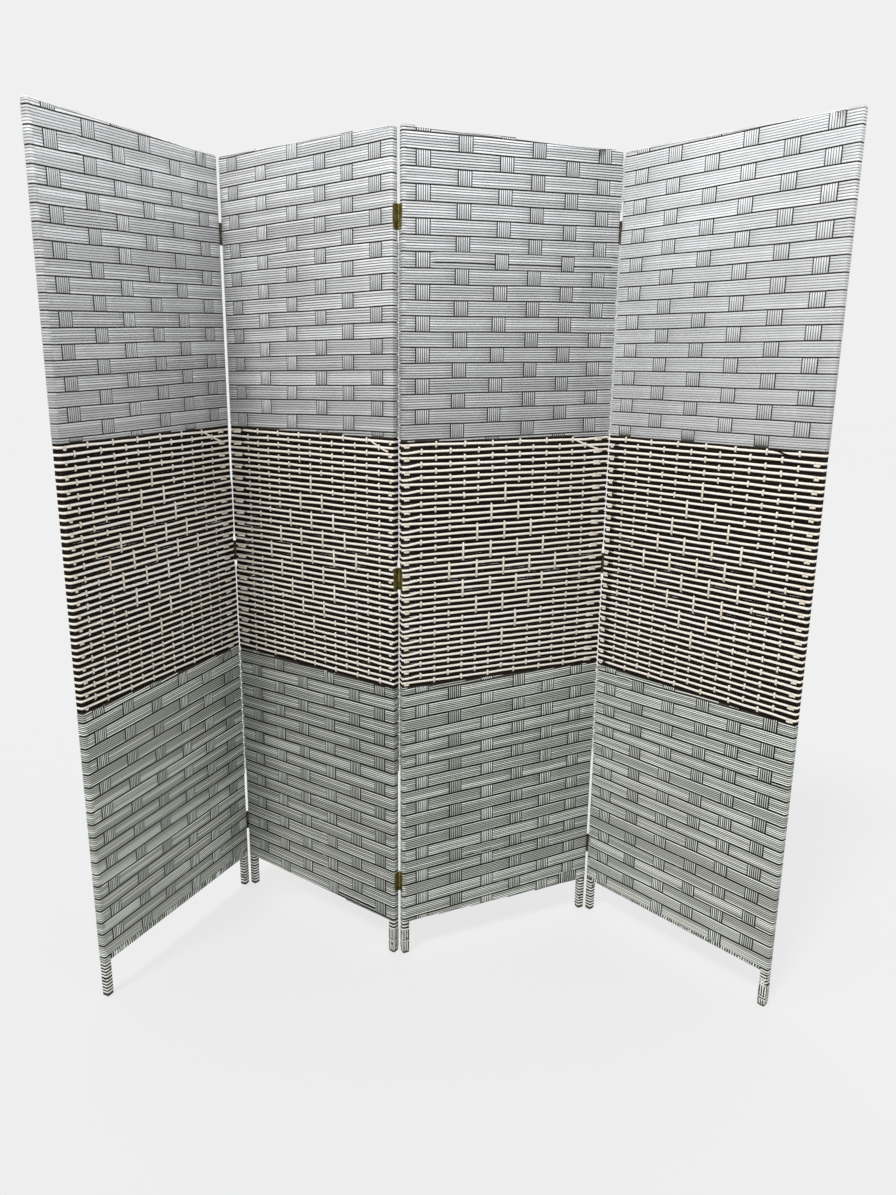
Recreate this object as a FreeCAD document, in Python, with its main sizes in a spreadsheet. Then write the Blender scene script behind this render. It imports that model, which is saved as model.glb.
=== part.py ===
import FreeCAD, Part
import Sketcher
import os

# A folding screen of woven paper cord. Four slim wood frames carry a closed weave of cord
# on both faces, their posts are wrapped down to the floor, and three brass butt hinges
# join each pair of panels. It stands zigzag, as it is used. Millimetres, +Z up.

SIZES = [
    ("screen_height", 1800.0, "floor to the top of the weave"),
    ("post_spacing", 479.0, "between the two post axes of a panel"),
    ("panel_depth", 19.0, "over the cord on both faces"),
    ("cord_wall", 2.0, "thickness of the woven or wound cord"),
    ("wrap_radius", 4.5, "outer corner of the cord round a post"),
    ("leg_height", 85.0, "floor to the lower edge of the weave"),
    ("foot_bevel", 3.0, "worn lower edge of a foot's winding"),
    ("band_bottom", 667.0, "lower edge of the dark band"),
    ("band_top", 1206.5, "upper edge of the dark band"),
    ("end_rail_height", 24.0, "top and bottom rail"),
    ("cross_rail_height", 30.0, "rails at the edges of the dark band"),
    ("tenon_length", 9.0, "reach of a rail's tenon into its post"),
    ("tenon_height", 16.0, "tenon, up and down"),
    ("tenon_thickness", 6.0, "tenon, front to back"),
    ("mortise_clearance", 0.2, "at the end of a tenon"),
    ("hinge_low", 186.0, "floor to the centre of the lowest hinge"),
    ("hinge_drop", 162.0, "top of the weave to the centre of the highest hinge"),
    ("leaf_height", 48.0, "hinge leaf, up and down"),
    ("leaf_width", 17.0, "pin axis to the leaf's free edge"),
    ("leaf_thickness", 1.1, "hinge leaf"),
    ("leaf_corner", 4.0, "cut corner of a leaf"),
    ("leaf_proud", 0.25, "leaf above the cord it is bedded in"),
    ("leaf_gap", 0.5, "between the two leaves when flat"),
    ("seat_clearance", 0.3, "round a leaf in its bed"),
    ("fold_clearance", 0.3, "pin axis beyond the panel's face"),
    ("pin_radius", 0.95, "hinge pin"),
    ("pin_clearance", 0.05, "pin in its knuckles"),
    ("knuckle_gap", 0.2, "between two knuckles"),
    ("knuckle_clearance", 0.3, "leaf from the other leaf's knuckle"),
]

# Angles about the upright, in degrees: how panel 2 stands, and how far each joint is folded.
STAND_ANGLE = -29.5
FOLD_ANGLES = {(1, 2): -100.6, (2, 3): 59.0, (3, 4): -70.2}
PANELS = (1, 2, 3, 4)
SIDES = ("left", "right")

doc = FreeCAD.newDocument("folding_screen")
sheet = doc.addObject("Spreadsheet::Sheet", "sizes")
for row, (alias, value, note) in enumerate(SIZES, 1):
    sheet.set(f"A{row}", alias)
    sheet.set(f"B{row}", str(value))
    sheet.set(f"C{row}", note)
    sheet.setAlias(f"B{row}", alias)
doc.recompute()

# Sizes that follow from the sheet, as expressions in its aliases
HALF_DEPTH = "sizes.panel_depth / 2"
POST = "(sizes.panel_depth - 2 * sizes.cord_wall)"
HALF_POST = f"{POST} / 2"
POST_TOP = "(sizes.screen_height - sizes.cord_wall)"
RAIL_HEIGHTS = {
    "bottom": ("sizes.leg_height + sizes.cord_wall", "sizes.end_rail_height"),
    "lower": ("sizes.band_bottom - sizes.cross_rail_height / 2", "sizes.cross_rail_height"),
    "upper": ("sizes.band_top - sizes.cross_rail_height / 2", "sizes.cross_rail_height"),
    "top": (f"{POST_TOP} - sizes.end_rail_height", "sizes.end_rail_height"),
}
LEAF_OUT = "sizes.leaf_gap / 2"
LEAF_IN = f"({LEAF_OUT} + sizes.leaf_thickness)"
KNUCKLE_BORE = "(sizes.pin_radius + sizes.pin_clearance)"
KNUCKLE = f"({KNUCKLE_BORE} + sizes.leaf_thickness)"
PIN_SIDE = f"({HALF_DEPTH} + sizes.leaf_proud + {LEAF_OUT})"
PIN_BACK = f"({HALF_DEPTH} + sizes.fold_clearance)"
HINGE_STEP = "(sizes.screen_height - sizes.hinge_drop - sizes.hinge_low) / 2"
HINGE_LEVELS = [f"(sizes.hinge_low + {k} * {HINGE_STEP})" for k in range(3)]


def size(expression):
    return float(sheet.evalExpression(str(expression)))


def bind(thing, **paths):
    """Binds properties to expressions; a double underscore stands for a dot."""
    for path, expression in paths.items():
        thing.setExpression(path.replace("__", "."), str(expression))
    return thing


def new_body(label):
    body = doc.addObject("PartDesign::Body", label)
    body.Label = label
    return body


def rectangle(body, x_low, x_high, y_low, y_high, z):
    """A sketch level with the floor at height z, holding one rectangle."""
    sketch = body.newObject("Sketcher::SketchObject", f"{body.Name}_outline")
    plane = [f for f in body.Origin.OriginFeatures if f.Role == "XY_Plane"][0]
    sketch.AttachmentSupport = (plane, [""])
    sketch.MapMode = "FlatFace"
    bind(sketch, AttachmentOffset__Base__z=z)
    x0, x1, y0, y1 = (size(e) for e in (x_low, x_high, y_low, y_high))
    corners = [FreeCAD.Vector(x, y, 0) for x, y in ((x0, y0), (x1, y0), (x1, y1), (x0, y1))]
    for k in range(4):
        sketch.addGeometry(Part.LineSegment(corners[k], corners[(k + 1) % 4]), False)
    for k in range(4):
        sketch.addConstraint(Sketcher.Constraint("Coincident", k, 2, (k + 1) % 4, 1))
        sketch.addConstraint(Sketcher.Constraint("Vertical" if k % 2 else "Horizontal", k))
    places = (("x_low", "DistanceX", 0, 1, x0, x_low), ("x_high", "DistanceX", 1, 2, x1, x_high),
              ("y_low", "DistanceY", 0, 1, y0, y_low), ("y_high", "DistanceY", 1, 2, y1, y_high))
    for name, kind, line, end, value, expression in places:
        n = sketch.addConstraint(Sketcher.Constraint(kind, -1, 1, line, end, value))
        sketch.renameConstraint(n, name)
        sketch.setExpression(f"Constraints.{name}", str(expression))
    return sketch


def pad(body, x_low, x_high, y_low, y_high, z, height):
    """A block of that outline, standing from z."""
    made = body.newObject("PartDesign::Pad", f"{body.Name}_pad")
    made.Profile = rectangle(body, x_low, x_high, y_low, y_high, z)
    bind(made, Length=height)
    doc.recompute()
    return made


def cut_box(body, x, y, z, along_x, along_y, along_z):
    """Takes a box out of the body; x, y and z are its lowest corner."""
    box = body.newObject("PartDesign::SubtractiveBox", f"{body.Name}_cut")
    bind(box, Length=along_x, Width=along_y, Height=along_z,
         Placement__Base__x=x, Placement__Base__y=y, Placement__Base__z=z)
    return box


def dress(body, kind, edges, path, expression):
    """A fillet or a chamfer on the edges of the body's last feature that the test picks."""
    doc.recompute()
    base = body.Tip
    names = [f"Edge{n}" for n, e in enumerate(base.Shape.Edges, 1) if edges(e)]
    made = body.newObject(f"PartDesign::{kind}", f"{body.Name}_{kind.lower()}")
    made.Base = (base, names)
    made.setExpression(path, expression)
    doc.recompute()
    return made


def upright(edge):
    box = edge.BoundBox
    return box.ZLength > max(box.XLength, box.YLength)


def level_at(z):
    """Picks the edges that lie level at height z."""
    height = size(z)
    tolerance = size("sizes.knuckle_gap") / 10
    return lambda edge: edge.BoundBox.ZLength < tolerance and abs(edge.BoundBox.ZMin - height) < tolerance


def long_edge_at(z):
    """Picks the level edges that run across a panel at height z."""
    level = level_at(z)
    return lambda edge: level(edge) and edge.BoundBox.XLength > edge.BoundBox.YLength


def post_at(side):
    return "sizes.post_spacing" if side == "right" else "0"


# The wood frame of a panel

def stile(label, side):
    """A wood post, mortised on its inner face for the rails."""
    body = new_body(label)
    x = post_at(side)
    pad(body, f"{x} - {HALF_POST}", f"{x} + {HALF_POST}", f"-{HALF_POST}", HALF_POST,
        "sizes.cord_wall", f"{POST_TOP} - sizes.cord_wall")
    depth = "(sizes.tenon_length + sizes.mortise_clearance)"
    start = f"{x} - {HALF_POST}" if side == "right" else f"{HALF_POST} - {depth}"
    for low, height in RAIL_HEIGHTS.values():
        cut_box(body, start, "-sizes.tenon_thickness / 2", f"{low} + ({height} - sizes.tenon_height) / 2",
                depth, "sizes.tenon_thickness", "sizes.tenon_height")
    return body


def rail(label, level):
    """A wood rail, as deep as the posts, with a tenon at each end."""
    body = new_body(label)
    low, height = RAIL_HEIGHTS[level]
    pad(body, HALF_POST, f"sizes.post_spacing - {HALF_POST}", f"-{HALF_POST}", HALF_POST, low, height)
    tenons = body.newObject("PartDesign::AdditiveBox", f"{label}_tenons")
    bind(tenons, Length=f"sizes.post_spacing - {POST} + 2 * sizes.tenon_length", Width="sizes.tenon_thickness",
         Height="sizes.tenon_height", Placement__Base__x=f"{HALF_POST} - sizes.tenon_length",
         Placement__Base__y="-sizes.tenon_thickness / 2",
         Placement__Base__z=f"{low} + ({height} - sizes.tenon_height) / 2")
    return body


def group(label, members):
    """Alike pieces that share one sub-part."""
    made = doc.addObject("Part::Compound", label)
    made.Label = label
    made.Links = members
    return made


# The cord on a panel

def weave(label, low, high, hinged, hinge_level, top=False, bottom=False):
    """The weave of one field: a sleeve round both posts, bedded for a hinge at each hinged side."""
    body = new_body(label)
    pad(body, f"-{HALF_DEPTH}", f"sizes.post_spacing + {HALF_DEPTH}", f"-{HALF_DEPTH}", HALF_DEPTH, low, f"{high} - {low}")
    rounded = long_edge_at(high) if top else upright
    dress(body, "Fillet", lambda edge: upright(edge) or rounded(edge), "Radius", "sizes.wrap_radius")
    floor = f"{low} + sizes.cord_wall" if bottom else low
    roof = f"{high} - sizes.cord_wall" if top else high
    cut_box(body, f"-{HALF_POST}", f"-{HALF_POST}", floor, f"sizes.post_spacing + {POST}", POST, f"{roof} - ({floor})")
    if bottom:
        for side in SIDES:
            cut_box(body, f"{post_at(side)} - {HALF_POST}", f"-{HALF_POST}", low, POST, POST, "sizes.cord_wall")
    reach = "(sizes.leaf_width + sizes.seat_clearance)"
    for side, pin in hinged.items():
        seat = f"({PIN_SIDE} - {LEAF_IN})"
        x = f"sizes.post_spacing + {seat}" if side == "right" else f"-{HALF_DEPTH}"
        y = f"{PIN_BACK} - {reach}" if pin == "back" else f"-{PIN_BACK}"
        cut_box(body, x, y, f"{hinge_level} - sizes.leaf_height / 2 - sizes.seat_clearance",
                f"{HALF_DEPTH} - {seat}", reach, "sizes.leaf_height + 2 * sizes.seat_clearance")
    return body


def foot_wrap(label, side):
    """The cord wound round the foot of a post and under it."""
    body = new_body(label)
    x = post_at(side)
    pad(body, f"{x} - {HALF_DEPTH}", f"{x} + {HALF_DEPTH}", f"-{HALF_DEPTH}", HALF_DEPTH,
        "0", "sizes.leg_height")
    dress(body, "Chamfer", level_at("0"), "Size", "sizes.foot_bevel")
    dress(body, "Fillet", upright, "Radius", "sizes.wrap_radius")
    cut_box(body, f"{x} - {HALF_POST}", f"-{HALF_POST}", "sizes.cord_wall", POST, POST,
            "sizes.leg_height - sizes.cord_wall")
    return body


# The hinges, about a pin on the local Z axis, with the panels on their -Y side when flat

KNUCKLES = 3
KNUCKLE_PITCH = f"(sizes.leaf_height / {KNUCKLES})"


def barrel(body, kind, radius, place, margin):
    """A cylinder on the pin axis over one knuckle's place, longer at both ends by the margin."""
    made = body.newObject(f"PartDesign::{kind}Cylinder", f"{body.Name}_barrel")
    bind(made, Radius=radius, Height=f"{KNUCKLE_PITCH} + 2 * {margin}",
         Placement__Base__z=f"({place} - {KNUCKLES} / 2) * {KNUCKLE_PITCH} - {margin}")
    return made


def hinge_leaf(label, sign, own, other, bored):
    """A hinge leaf on the side of the sign, with its own knuckles and room for the other's.

    The pin turns in a bored knuckle, and is riveted tight into the others."""
    body = new_body(label)
    x_low, x_high = (LEAF_OUT, LEAF_IN) if sign > 0 else (f"-{LEAF_IN}", f"-{LEAF_OUT}")
    pad(body, x_low, x_high, "-sizes.leaf_width", "0", "-sizes.leaf_height / 2", "sizes.leaf_height")
    edge_y = -size("sizes.leaf_width")
    near = size("sizes.leaf_gap")
    dress(body, "Chamfer", lambda e: abs(e.BoundBox.YMax - edge_y) < near and e.BoundBox.ZLength < near,
          "Size", "sizes.leaf_corner")
    for place in other:
        barrel(body, "Subtractive", f"{KNUCKLE} + sizes.knuckle_clearance", place, "sizes.knuckle_gap / 2")
    for place in own:
        barrel(body, "Additive", KNUCKLE, place, "(-sizes.knuckle_gap / 2)")
        if bored:
            barrel(body, "Subtractive", KNUCKLE_BORE, place, "0")
    return body


def pin(label):
    made = doc.addObject("Part::Cylinder", label)
    return bind(made, Radius="sizes.pin_radius", Height="sizes.leaf_height",
                Placement__Base__z="-sizes.leaf_height / 2")


def at_three_heights(name, pieces):
    """The pieces of one hinge, set at the height of each of a joint's three hinges."""
    copies = []
    for height in HINGE_LEVELS:
        copy = group(f"{name}_set", pieces)
        bind(copy, Placement__Base__z=height)
        copies.append(copy)
    return copies


# Where each panel stands

def moved(x, y, turn=0.0):
    return FreeCAD.Placement(FreeCAD.Vector(x, y, 0), FreeCAD.Rotation(FreeCAD.Vector(0, 0, 1), turn))


def pin_place(panel_side, pin):
    """The pin axis of a hinged side, in its panel's own frame."""
    x = size(f"sizes.post_spacing + {PIN_SIDE}") if panel_side == "right" else -size(PIN_SIDE)
    return moved(x, size(PIN_BACK) * (1 if pin == "back" else -1))


def pin_face(joint):
    """A joint folds towards the face that its pins are on."""
    return "back" if FOLD_ANGLES[joint] > 0 else "front"


def panel_places():
    """Panel 2 stands at the origin, and each other one hangs from its neighbour by the pin."""
    places = {2: moved(0, 0, STAND_ANGLE)}
    for left, right in ((2, 3), (3, 4)):
        face = pin_face((left, right))
        turn = moved(0, 0, FOLD_ANGLES[(left, right)])
        places[right] = places[left] * pin_place("right", face) * turn * pin_place("left", face).inverse()
    face = pin_face((1, 2))
    back = moved(0, 0, -FOLD_ANGLES[(1, 2)])
    places[1] = places[2] * pin_place("left", face) * back * pin_place("right", face).inverse()
    return places


def build_panel(number):
    """Every sub-part of one panel, in the panel's own frame: X across from the left post's axis."""
    name = f"panel_{number}"
    hinged = {}
    if number > 1:
        hinged["left"] = pin_face((number - 1, number))
    if number < 4:
        hinged["right"] = pin_face((number, number + 1))
    parts = [stile(f"{name}_{side}_stile", side) for side in SIDES]
    parts += [rail(f"{name}_{level}_rail", level) for level in ("top", "bottom")]
    parts.append(group(f"{name}_cross_rails", [rail(f"{name}_{level}_rail", level) for level in ("upper", "lower")]))
    parts.append(weave(f"{name}_upper_weave", "sizes.band_top", "sizes.screen_height", hinged, HINGE_LEVELS[2], top=True))
    parts.append(weave(f"{name}_middle_weave", "sizes.band_bottom", "sizes.band_top", hinged, HINGE_LEVELS[1]))
    parts.append(weave(f"{name}_lower_weave", "sizes.leg_height", "sizes.band_bottom", hinged, HINGE_LEVELS[0], bottom=True))
    parts += [foot_wrap(f"{name}_{side}_foot_wrap", side) for side in SIDES]
    return parts


def build_hinges():
    """The three hinges of each joint: list of (sub-part, panel that carries it, side of that panel, pin's face)."""
    outer = at_three_heights("outer_leaf", [hinge_leaf("outer_leaf", -1, (0, 2), (1,), False)])
    inner = at_three_heights("inner_leaf", [hinge_leaf("inner_leaf", 1, (1,), (0, 2), True)])
    pins = at_three_heights("pin", [pin("hinge_pin")])
    made = []
    for left, right in FOLD_ANGLES:
        name = f"hinge_{left}_{right}"
        face = pin_face((left, right))
        for where, panel, side in (("left", left, "right"), ("right", right, "left")):
            # With the pin in front the hinge is turned half round, so its leaves change sides.
            riveted = (where == "left") == (face == "back")
            made.append((group(f"{name}_{where}_leaves", outer if riveted else inner), panel, side, face))
            if riveted:
                made.append((group(f"{name}_pins", pins), panel, side, face))
    return made


def main():
    places = panel_places()
    parts = []
    for number in PANELS:
        for part in build_panel(number):
            parts.append((part, places[number]))
    for part, panel, side, face in build_hinges():
        half_turn = moved(0, 0, 0 if face == "back" else 180)
        parts.append((part, places[panel] * pin_place(side, face) * half_turn))
    for part, place in parts:
        part.Placement = place
    doc.recompute()

    # The origin is on the floor, under the middle of the standing screen's box.
    box = FreeCAD.BoundBox()
    for part, _ in parts:
        box.add(part.Shape.optimalBoundingBox(False, False))
    centre = moved(-box.Center.x, -box.Center.y)
    for part, place in parts:
        part.Placement = centre * place
    doc.recompute()

    for thing in doc.Objects:
        if "Invalid" in thing.State or "Error" in thing.State:
            raise RuntimeError(f"{thing.Label} failed: {thing.State}")
    for part, _ in parts:
        if part.Shape.isNull() or not part.Shape.isValid() or not part.Shape.Solids:
            raise RuntimeError(f"{part.Label} has no sound shape")
    os.makedirs("parts", exist_ok=True)
    for part, _ in parts:
        part.Shape.exportStep(f"parts/{part.Label}.step")
    print(len(parts), "sub-parts")
    for joint in FOLD_ANGLES:
        place = centre * places[joint[0]] * pin_place("right", pin_face(joint))
        print("pin axis", joint, round(place.Base.x, 4), round(place.Base.y, 4))


main()
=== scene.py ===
import math

import bmesh
import bpy
import numpy as np
from mathutils import Matrix, Vector


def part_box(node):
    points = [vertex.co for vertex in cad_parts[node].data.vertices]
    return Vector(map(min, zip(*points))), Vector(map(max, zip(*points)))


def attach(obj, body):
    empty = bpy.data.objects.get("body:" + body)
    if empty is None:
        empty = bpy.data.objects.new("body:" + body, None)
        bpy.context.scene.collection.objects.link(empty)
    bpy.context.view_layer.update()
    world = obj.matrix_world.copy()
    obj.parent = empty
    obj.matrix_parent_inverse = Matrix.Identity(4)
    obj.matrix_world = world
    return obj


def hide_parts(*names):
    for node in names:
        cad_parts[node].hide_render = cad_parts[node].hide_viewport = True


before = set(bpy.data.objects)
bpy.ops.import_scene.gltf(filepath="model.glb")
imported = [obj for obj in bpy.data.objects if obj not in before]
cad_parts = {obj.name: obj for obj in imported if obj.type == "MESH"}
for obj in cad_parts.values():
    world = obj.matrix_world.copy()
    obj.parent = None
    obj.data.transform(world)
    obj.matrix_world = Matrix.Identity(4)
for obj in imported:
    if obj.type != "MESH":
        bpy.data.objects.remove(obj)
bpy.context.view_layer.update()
SEED = 41
dice = np.random.default_rng(SEED)

# Everything is in metres. On a panel, u runs along its width from the axis of its left post,
# v comes out of its front face, and z is the height. Depths are distances from the middle of the
# panel or from the axis of a post. Widths and thicknesses of cords are half sizes.
ALONG = (1.0, 0.0, 0.0)
OUTWARD = (0.0, 1.0, 0.0)
UP = (0.0, 0.0, 1.0)
POSTS = ("left", "right")

# Camera, from the places of all feet and tops in the picture
PICTURE_SIDE = 1195
CAMERA_PLACE = (0.2004, -1.8257, 1.3610)
CAMERA_YAW = math.radians(-6.11)
CAMERA_DOWN = math.radians(13.67)
CAMERA_ROLL = math.radians(0.73)
CAMERA_FOCAL_PIXELS = 886.5
CAMERA_SHIFT = (-0.0018, -0.0152)
SENSOR_MILLIMETRES = 36.0
CLIP_START = 0.05

# Cord round the posts, and what changes where the cord of two neighbouring posts nearly touches
WRAP_DEPTH = 0.0087
CORNER = 0.0037
CORNER_SHUT = 0.0003
SIDE_SHUT = 0.0003
FACE_SHUT = 0.0001
SHARPEN = 0.00052
SHUT_EASE = 0.03
SHUT = {(1, "right"): (0.30, 1.09), (2, "left"): (0.30, 1.20), (2, "right"): (0.44, 1.66),
        (3, "left"): (0.44, 1.66), (3, "right"): (0.40, 1.79), (4, "left"): (0.40, 1.79)}
HINGES = (0.186, 0.912, 1.638)
HINGE_CLEAR = 0.026
HINGE_EASE = 0.02
FACE_START = 0.002

# Wefts of the grey fields
CORDS_IN_ROW = 6
WEFT_THICK = 0.0008
WEFT_UNDER = 0.0069
WEFT_OVERLAP = 1.03
WEFT_UNEVEN = (0.99, 1.01)
WEFT_WOBBLE = 0.00004
DIVE_AT = 0.0150
DIVE_TO = 0.0168
SLACK_EASE = 0.012
SLACK_LIFT = 0.6
GREY_WAVES = ((0.0005, 16), (0.0003, 37))
ROW_NUMBERS = range(-4, 26)
ROW_MARGIN = 0.02
EDGE_READ_AT = 0.24
PITCH_READ_AT = 0.2
# Where wefts tuck in and stop at the edges of a field, counted in halves of a cord
TUCK = 0.0012
TUCK_TOP = 2.6
TUCK_LOW = 2.0
TUCK_EASE = 1.2
STOP_TOP = 0.4
STOP_LOW = 0.2

# Warps of the grey fields. A cord's stations over or under a row: distance from the row's edge,
# depth and painted shade, which darkens the warp where it dips beside a row's edge and under it
CORDS_IN_COLUMN = 6
COLUMNS = range(1, 7)
COLUMN_PITCH = 0.00475
COLUMN_FILL = 0.45
COLUMN_FALL = 0.6
LOWER_COLUMN_TOP = 0.667
WARP_THICK = 0.0007
WARP_OVER = 0.0088
OVER_ROW = ((0.0006, 0.0078, 1.0), (0.0021, WARP_OVER, 0.0))
UNDER_ROW = ((0.0012, 0.0069, 1.0),)
WARP_MARGIN = 0.001
COLUMN_TINT = 0.6
WARP_TINT = 0.5
# An end rolled over the panel's edge: depth, distance from the edge, direction outward and up
ROLL = ((0.0, 0.0002, 0.0, 1.0), (0.0060, 0.0004, 0.3, 0.95), (0.0081, 0.0016, 0.75, 0.66),
        (WARP_OVER, 0.0040, 1.0, 0.0))
ROLL_FROM = 0.0072
ROLL_SHORT = 0.003
WARP_TUCK = 0.0022

# The two cords along an edge of the panel: depth, distance from the edge, tilt in degrees
EDGE_CORDS = ((0.0074, 0.0017, 50), (0.00245, 0.0009, 90))
EDGE_CORNER = 0.7
EDGE_WIDE = 0.002375
EDGE_STATIONS = 20
EDGE_WOBBLE = 0.0001

# Dark flat cords behind the gaps between rows, on the faces and round the posts: painted shadow, a dark
# sheet where the weave has only shade
SEAM_DEPTH = 0.0064
SEAM_WIDE = 0.0027
SEAM_THICK = 0.0004
SEAM_END = 0.0082
SEAM_REACH = 0.0090
SEAM_STATIONS = 24
POST_SEAM = 0.0078
POST_SEAM_CORNER = 0.0024
POST_SEAM_THICK = 0.00025

# Cord of the band
CREAM_THICK = 0.0012
CREAM_WIDE = 0.0027
CREAM_DEPTH = 0.0083
CREAM_UNDER = 0.0073
CREAM_DIP = ((-0.0060, CREAM_DEPTH), (-0.0018, CREAM_UNDER), (0.0018, CREAM_UNDER), (0.0060, CREAM_DEPTH))
DARK_THICK = 0.0010
DARK_WIDE = 0.0020
DARK_DEPTH = 0.0080
DARK_DIP = 0.0009
DARK_STAND = 0.0005
DARK_STEPS = (0.365, 0.635)
BAND_UNEVEN = (0.96, 1.04)
BAND_WOBBLE = 0.00008
BAND_WAVES = ((0.00045, 24), (0.0003, 61))
BAND_COLUMNS = 13
BAND_WARP_WIDE = 0.0026
BAND_WARP_THICK = 0.0008
BAND_WARP_OVER = 0.0089
BAND_WARP_UNDER = 0.0066
BAND_WARP_DIPS = (0.0067, 0.0045)
BAND_WARP_WOBBLE = 0.0004
BAND_WARP_STEP = 0.0001
DIAMOND_SPREADS = (0, 1, 2, 3, 4, 3, 2, 1, 0)
DIAMOND_CENTRE = 7
DIAMOND_ROWS = 3
EDGE_ABOVE_BAND = 0.0078
EDGE_BELOW_BAND = 0.0105

# Heights of the lines between rows at the first, tenth and nineteenth line, read at one place, and
# how much a row climbs across the panel at lines 1, 4, 7 ... 19. The odd or even columns show in a
# row by turns. Top and foot are the places of the six columns there.
LINES_READ_AT = 0.193
MARK_LINES = (1, 10, 19)
RISE_LINES = (1, 4, 7, 10, 13, 16, 19)
UPPER = {
    1: {"marks": (1.7927, 1.5140, 1.2483), "shown": 1,
        "rises": (0.014, 0.019, 0.0215, 0.020, 0.020, 0.019, 0.013),
        "top": (0.035, 0.124, 0.196, 0.267, 0.352, 0.435),
        "foot": (0.035, 0.117, 0.193, 0.280, 0.357, 0.439)},
    2: {"marks": (1.7680, 1.4960, 1.2160), "shown": 1,
        "rises": (0.0115, 0.011, 0.011, 0.009, 0.010, 0.010, 0.012),
        "top": (0.035, 0.125, 0.221, 0.298, 0.372, 0.444),
        "foot": (0.037, 0.117, 0.197, 0.289, 0.367, 0.447)},
    3: {"marks": (1.7950, 1.5177, 1.2417), "shown": 1,
        "rises": (0.012, 0.013, 0.013, 0.0125, 0.009, 0.009, 0.011),
        "top": (0.034, 0.124, 0.216, 0.287, 0.367, 0.443),
        "foot": (0.034, 0.112, 0.195, 0.278, 0.357, 0.434)},
    4: {"marks": (1.7633, 1.4973, 1.2323), "shown": 0,
        "rises": (0.012, 0.011, 0.0025, 0.001, 0.002, 0.001, 0.001),
        "top": (0.037, 0.115, 0.201, 0.280, 0.364, 0.443),
        "foot": (0.030, 0.107, 0.191, 0.275, 0.357, 0.437)},
}
LOWER = {
    1: {"marks": (0.6273, 0.3650, 0.1007), "shown": 0,
        "rises": (0.030, 0.027, 0.021, 0.0175, 0.015, 0.0135, 0.003),
        "top": (0.032, 0.112, 0.196, 0.282, 0.364, 0.442),
        "foot": (0.034, 0.120, 0.199, 0.286, 0.364, 0.440)},
    2: {"marks": (0.6333, 0.3640, 0.0865), "shown": 0,
        "rises": (0.016, 0.015, 0.014, 0.010, 0.008, 0.009, 0.006),
        "top": (0.050, 0.129, 0.208, 0.294, 0.372, 0.447),
        "foot": (0.050, 0.129, 0.210, 0.296, 0.374, 0.447)},
    3: {"marks": (0.6323, 0.3683, 0.1033), "shown": 0,
        "rises": (0.0255, 0.0245, 0.020, 0.0195, 0.021, 0.023, 0.0235),
        "top": (0.037, 0.115, 0.196, 0.278, 0.355, 0.432),
        "foot": (0.040, 0.128, 0.209, 0.284, 0.361, 0.434)},
    4: {"marks": (0.6267, 0.3773, 0.1220), "shown": 0,
        "rises": (0.012, 0.009, 0.001, 0.0, 0.0, 0.001, 0.001),
        "top": (0.030, 0.109, 0.191, 0.278, 0.355, 0.436),
        "foot": (0.040, 0.119, 0.202, 0.282, 0.357, 0.432)},
}
# The cream rows of the band: how many, the first and last height, the climb across the panel at
# the top, middle and bottom, the first and last warp, and the row where the diamond starts
BAND = {
    1: {"rows": 39, "ends": (1.2005, 0.6770), "rises": (0.006, 0.008, 0.002),
        "warps": (0.028, 0.425), "diamond": 6},
    2: {"rows": 40, "ends": (1.2035, 0.6755), "rises": (0.000, 0.009, 0.001),
        "warps": (0.052, 0.450), "diamond": 8},
    3: {"rows": 39, "ends": (1.1985, 0.6790), "rises": (0.005, 0.007, 0.000),
        "warps": (0.033, 0.427), "diamond": 8},
    4: {"rows": 40, "ends": (1.2010, 0.6730), "rises": (0.000, 0.004, -0.003),
        "warps": (0.035, 0.438), "diamond": 7},
}
# Short double cords on the posts: where they start and end, a gap in the row beside them, and how
# far the other rows dip at the left post and these rows lift at the right post
BLOCKS = {
    1: {"left": (0.002, 0.009), "right": (0.450, 0.468), "gap": None, "sway": (0.0, 0.0)},
    2: {"left": (0.001, 0.026), "right": (0.477, 0.484), "gap": (0.0275, 0.0310), "sway": (0.0, 0.0)},
    3: {"left": (-0.010, 0.006), "right": (0.452, 0.470), "gap": None, "sway": (0.0034, 0.0028)},
    4: {"left": (-0.012, 0.004), "right": (0.469, 0.480), "gap": (0.0045, 0.0120), "sway": (0.0010, 0.0)},
}
BLOCK_DEPTH = 0.0086
BLOCK_WIDE = 0.0024
BLOCK_THICK = 0.0010
BLOCK_UNEVEN = 0.0010
BLOCK_WOBBLE = 0.0004
# The two cords of a block: how much higher, and how much further out
BLOCK_CORDS = ((0.0, 0.0001), (-0.0045, 0.0))
BLOCK_SHARES = (0.0, 0.33, 0.67, 1.0)
BLOCK_END = 0.0012
BLOCK_END_DIP = 0.0018
BLOCK_ROUND = -0.0040
BLOCK_CORNER = 0.0013
BLOCK_CORNER_OUT = 0.7
BLOCK_BACK = 0.0005
BLOCK_SIDE = 0.0020
# Where rows start to dip at the left post and to lift at the right one, and over what length
SWAY_LEFT = (0.024, 0.018)
SWAY_RIGHT = (0.040, 0.012)
# Stations beside a gap, from its start and from its end: place, depth, share of the full width
GAP_DEPTH = CREAM_UNDER - 0.0012
GAP_START = ((-0.0015, CREAM_DEPTH, 0.9), (0.0, GAP_DEPTH, 0.5))
GAP_END = ((0.0, GAP_DEPTH, 0.3), (0.0012, CREAM_DEPTH, 0.4), (0.0100, CREAM_DEPTH, 1.0))
GAP_CLEAR = (0.002, 0.010)

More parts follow.
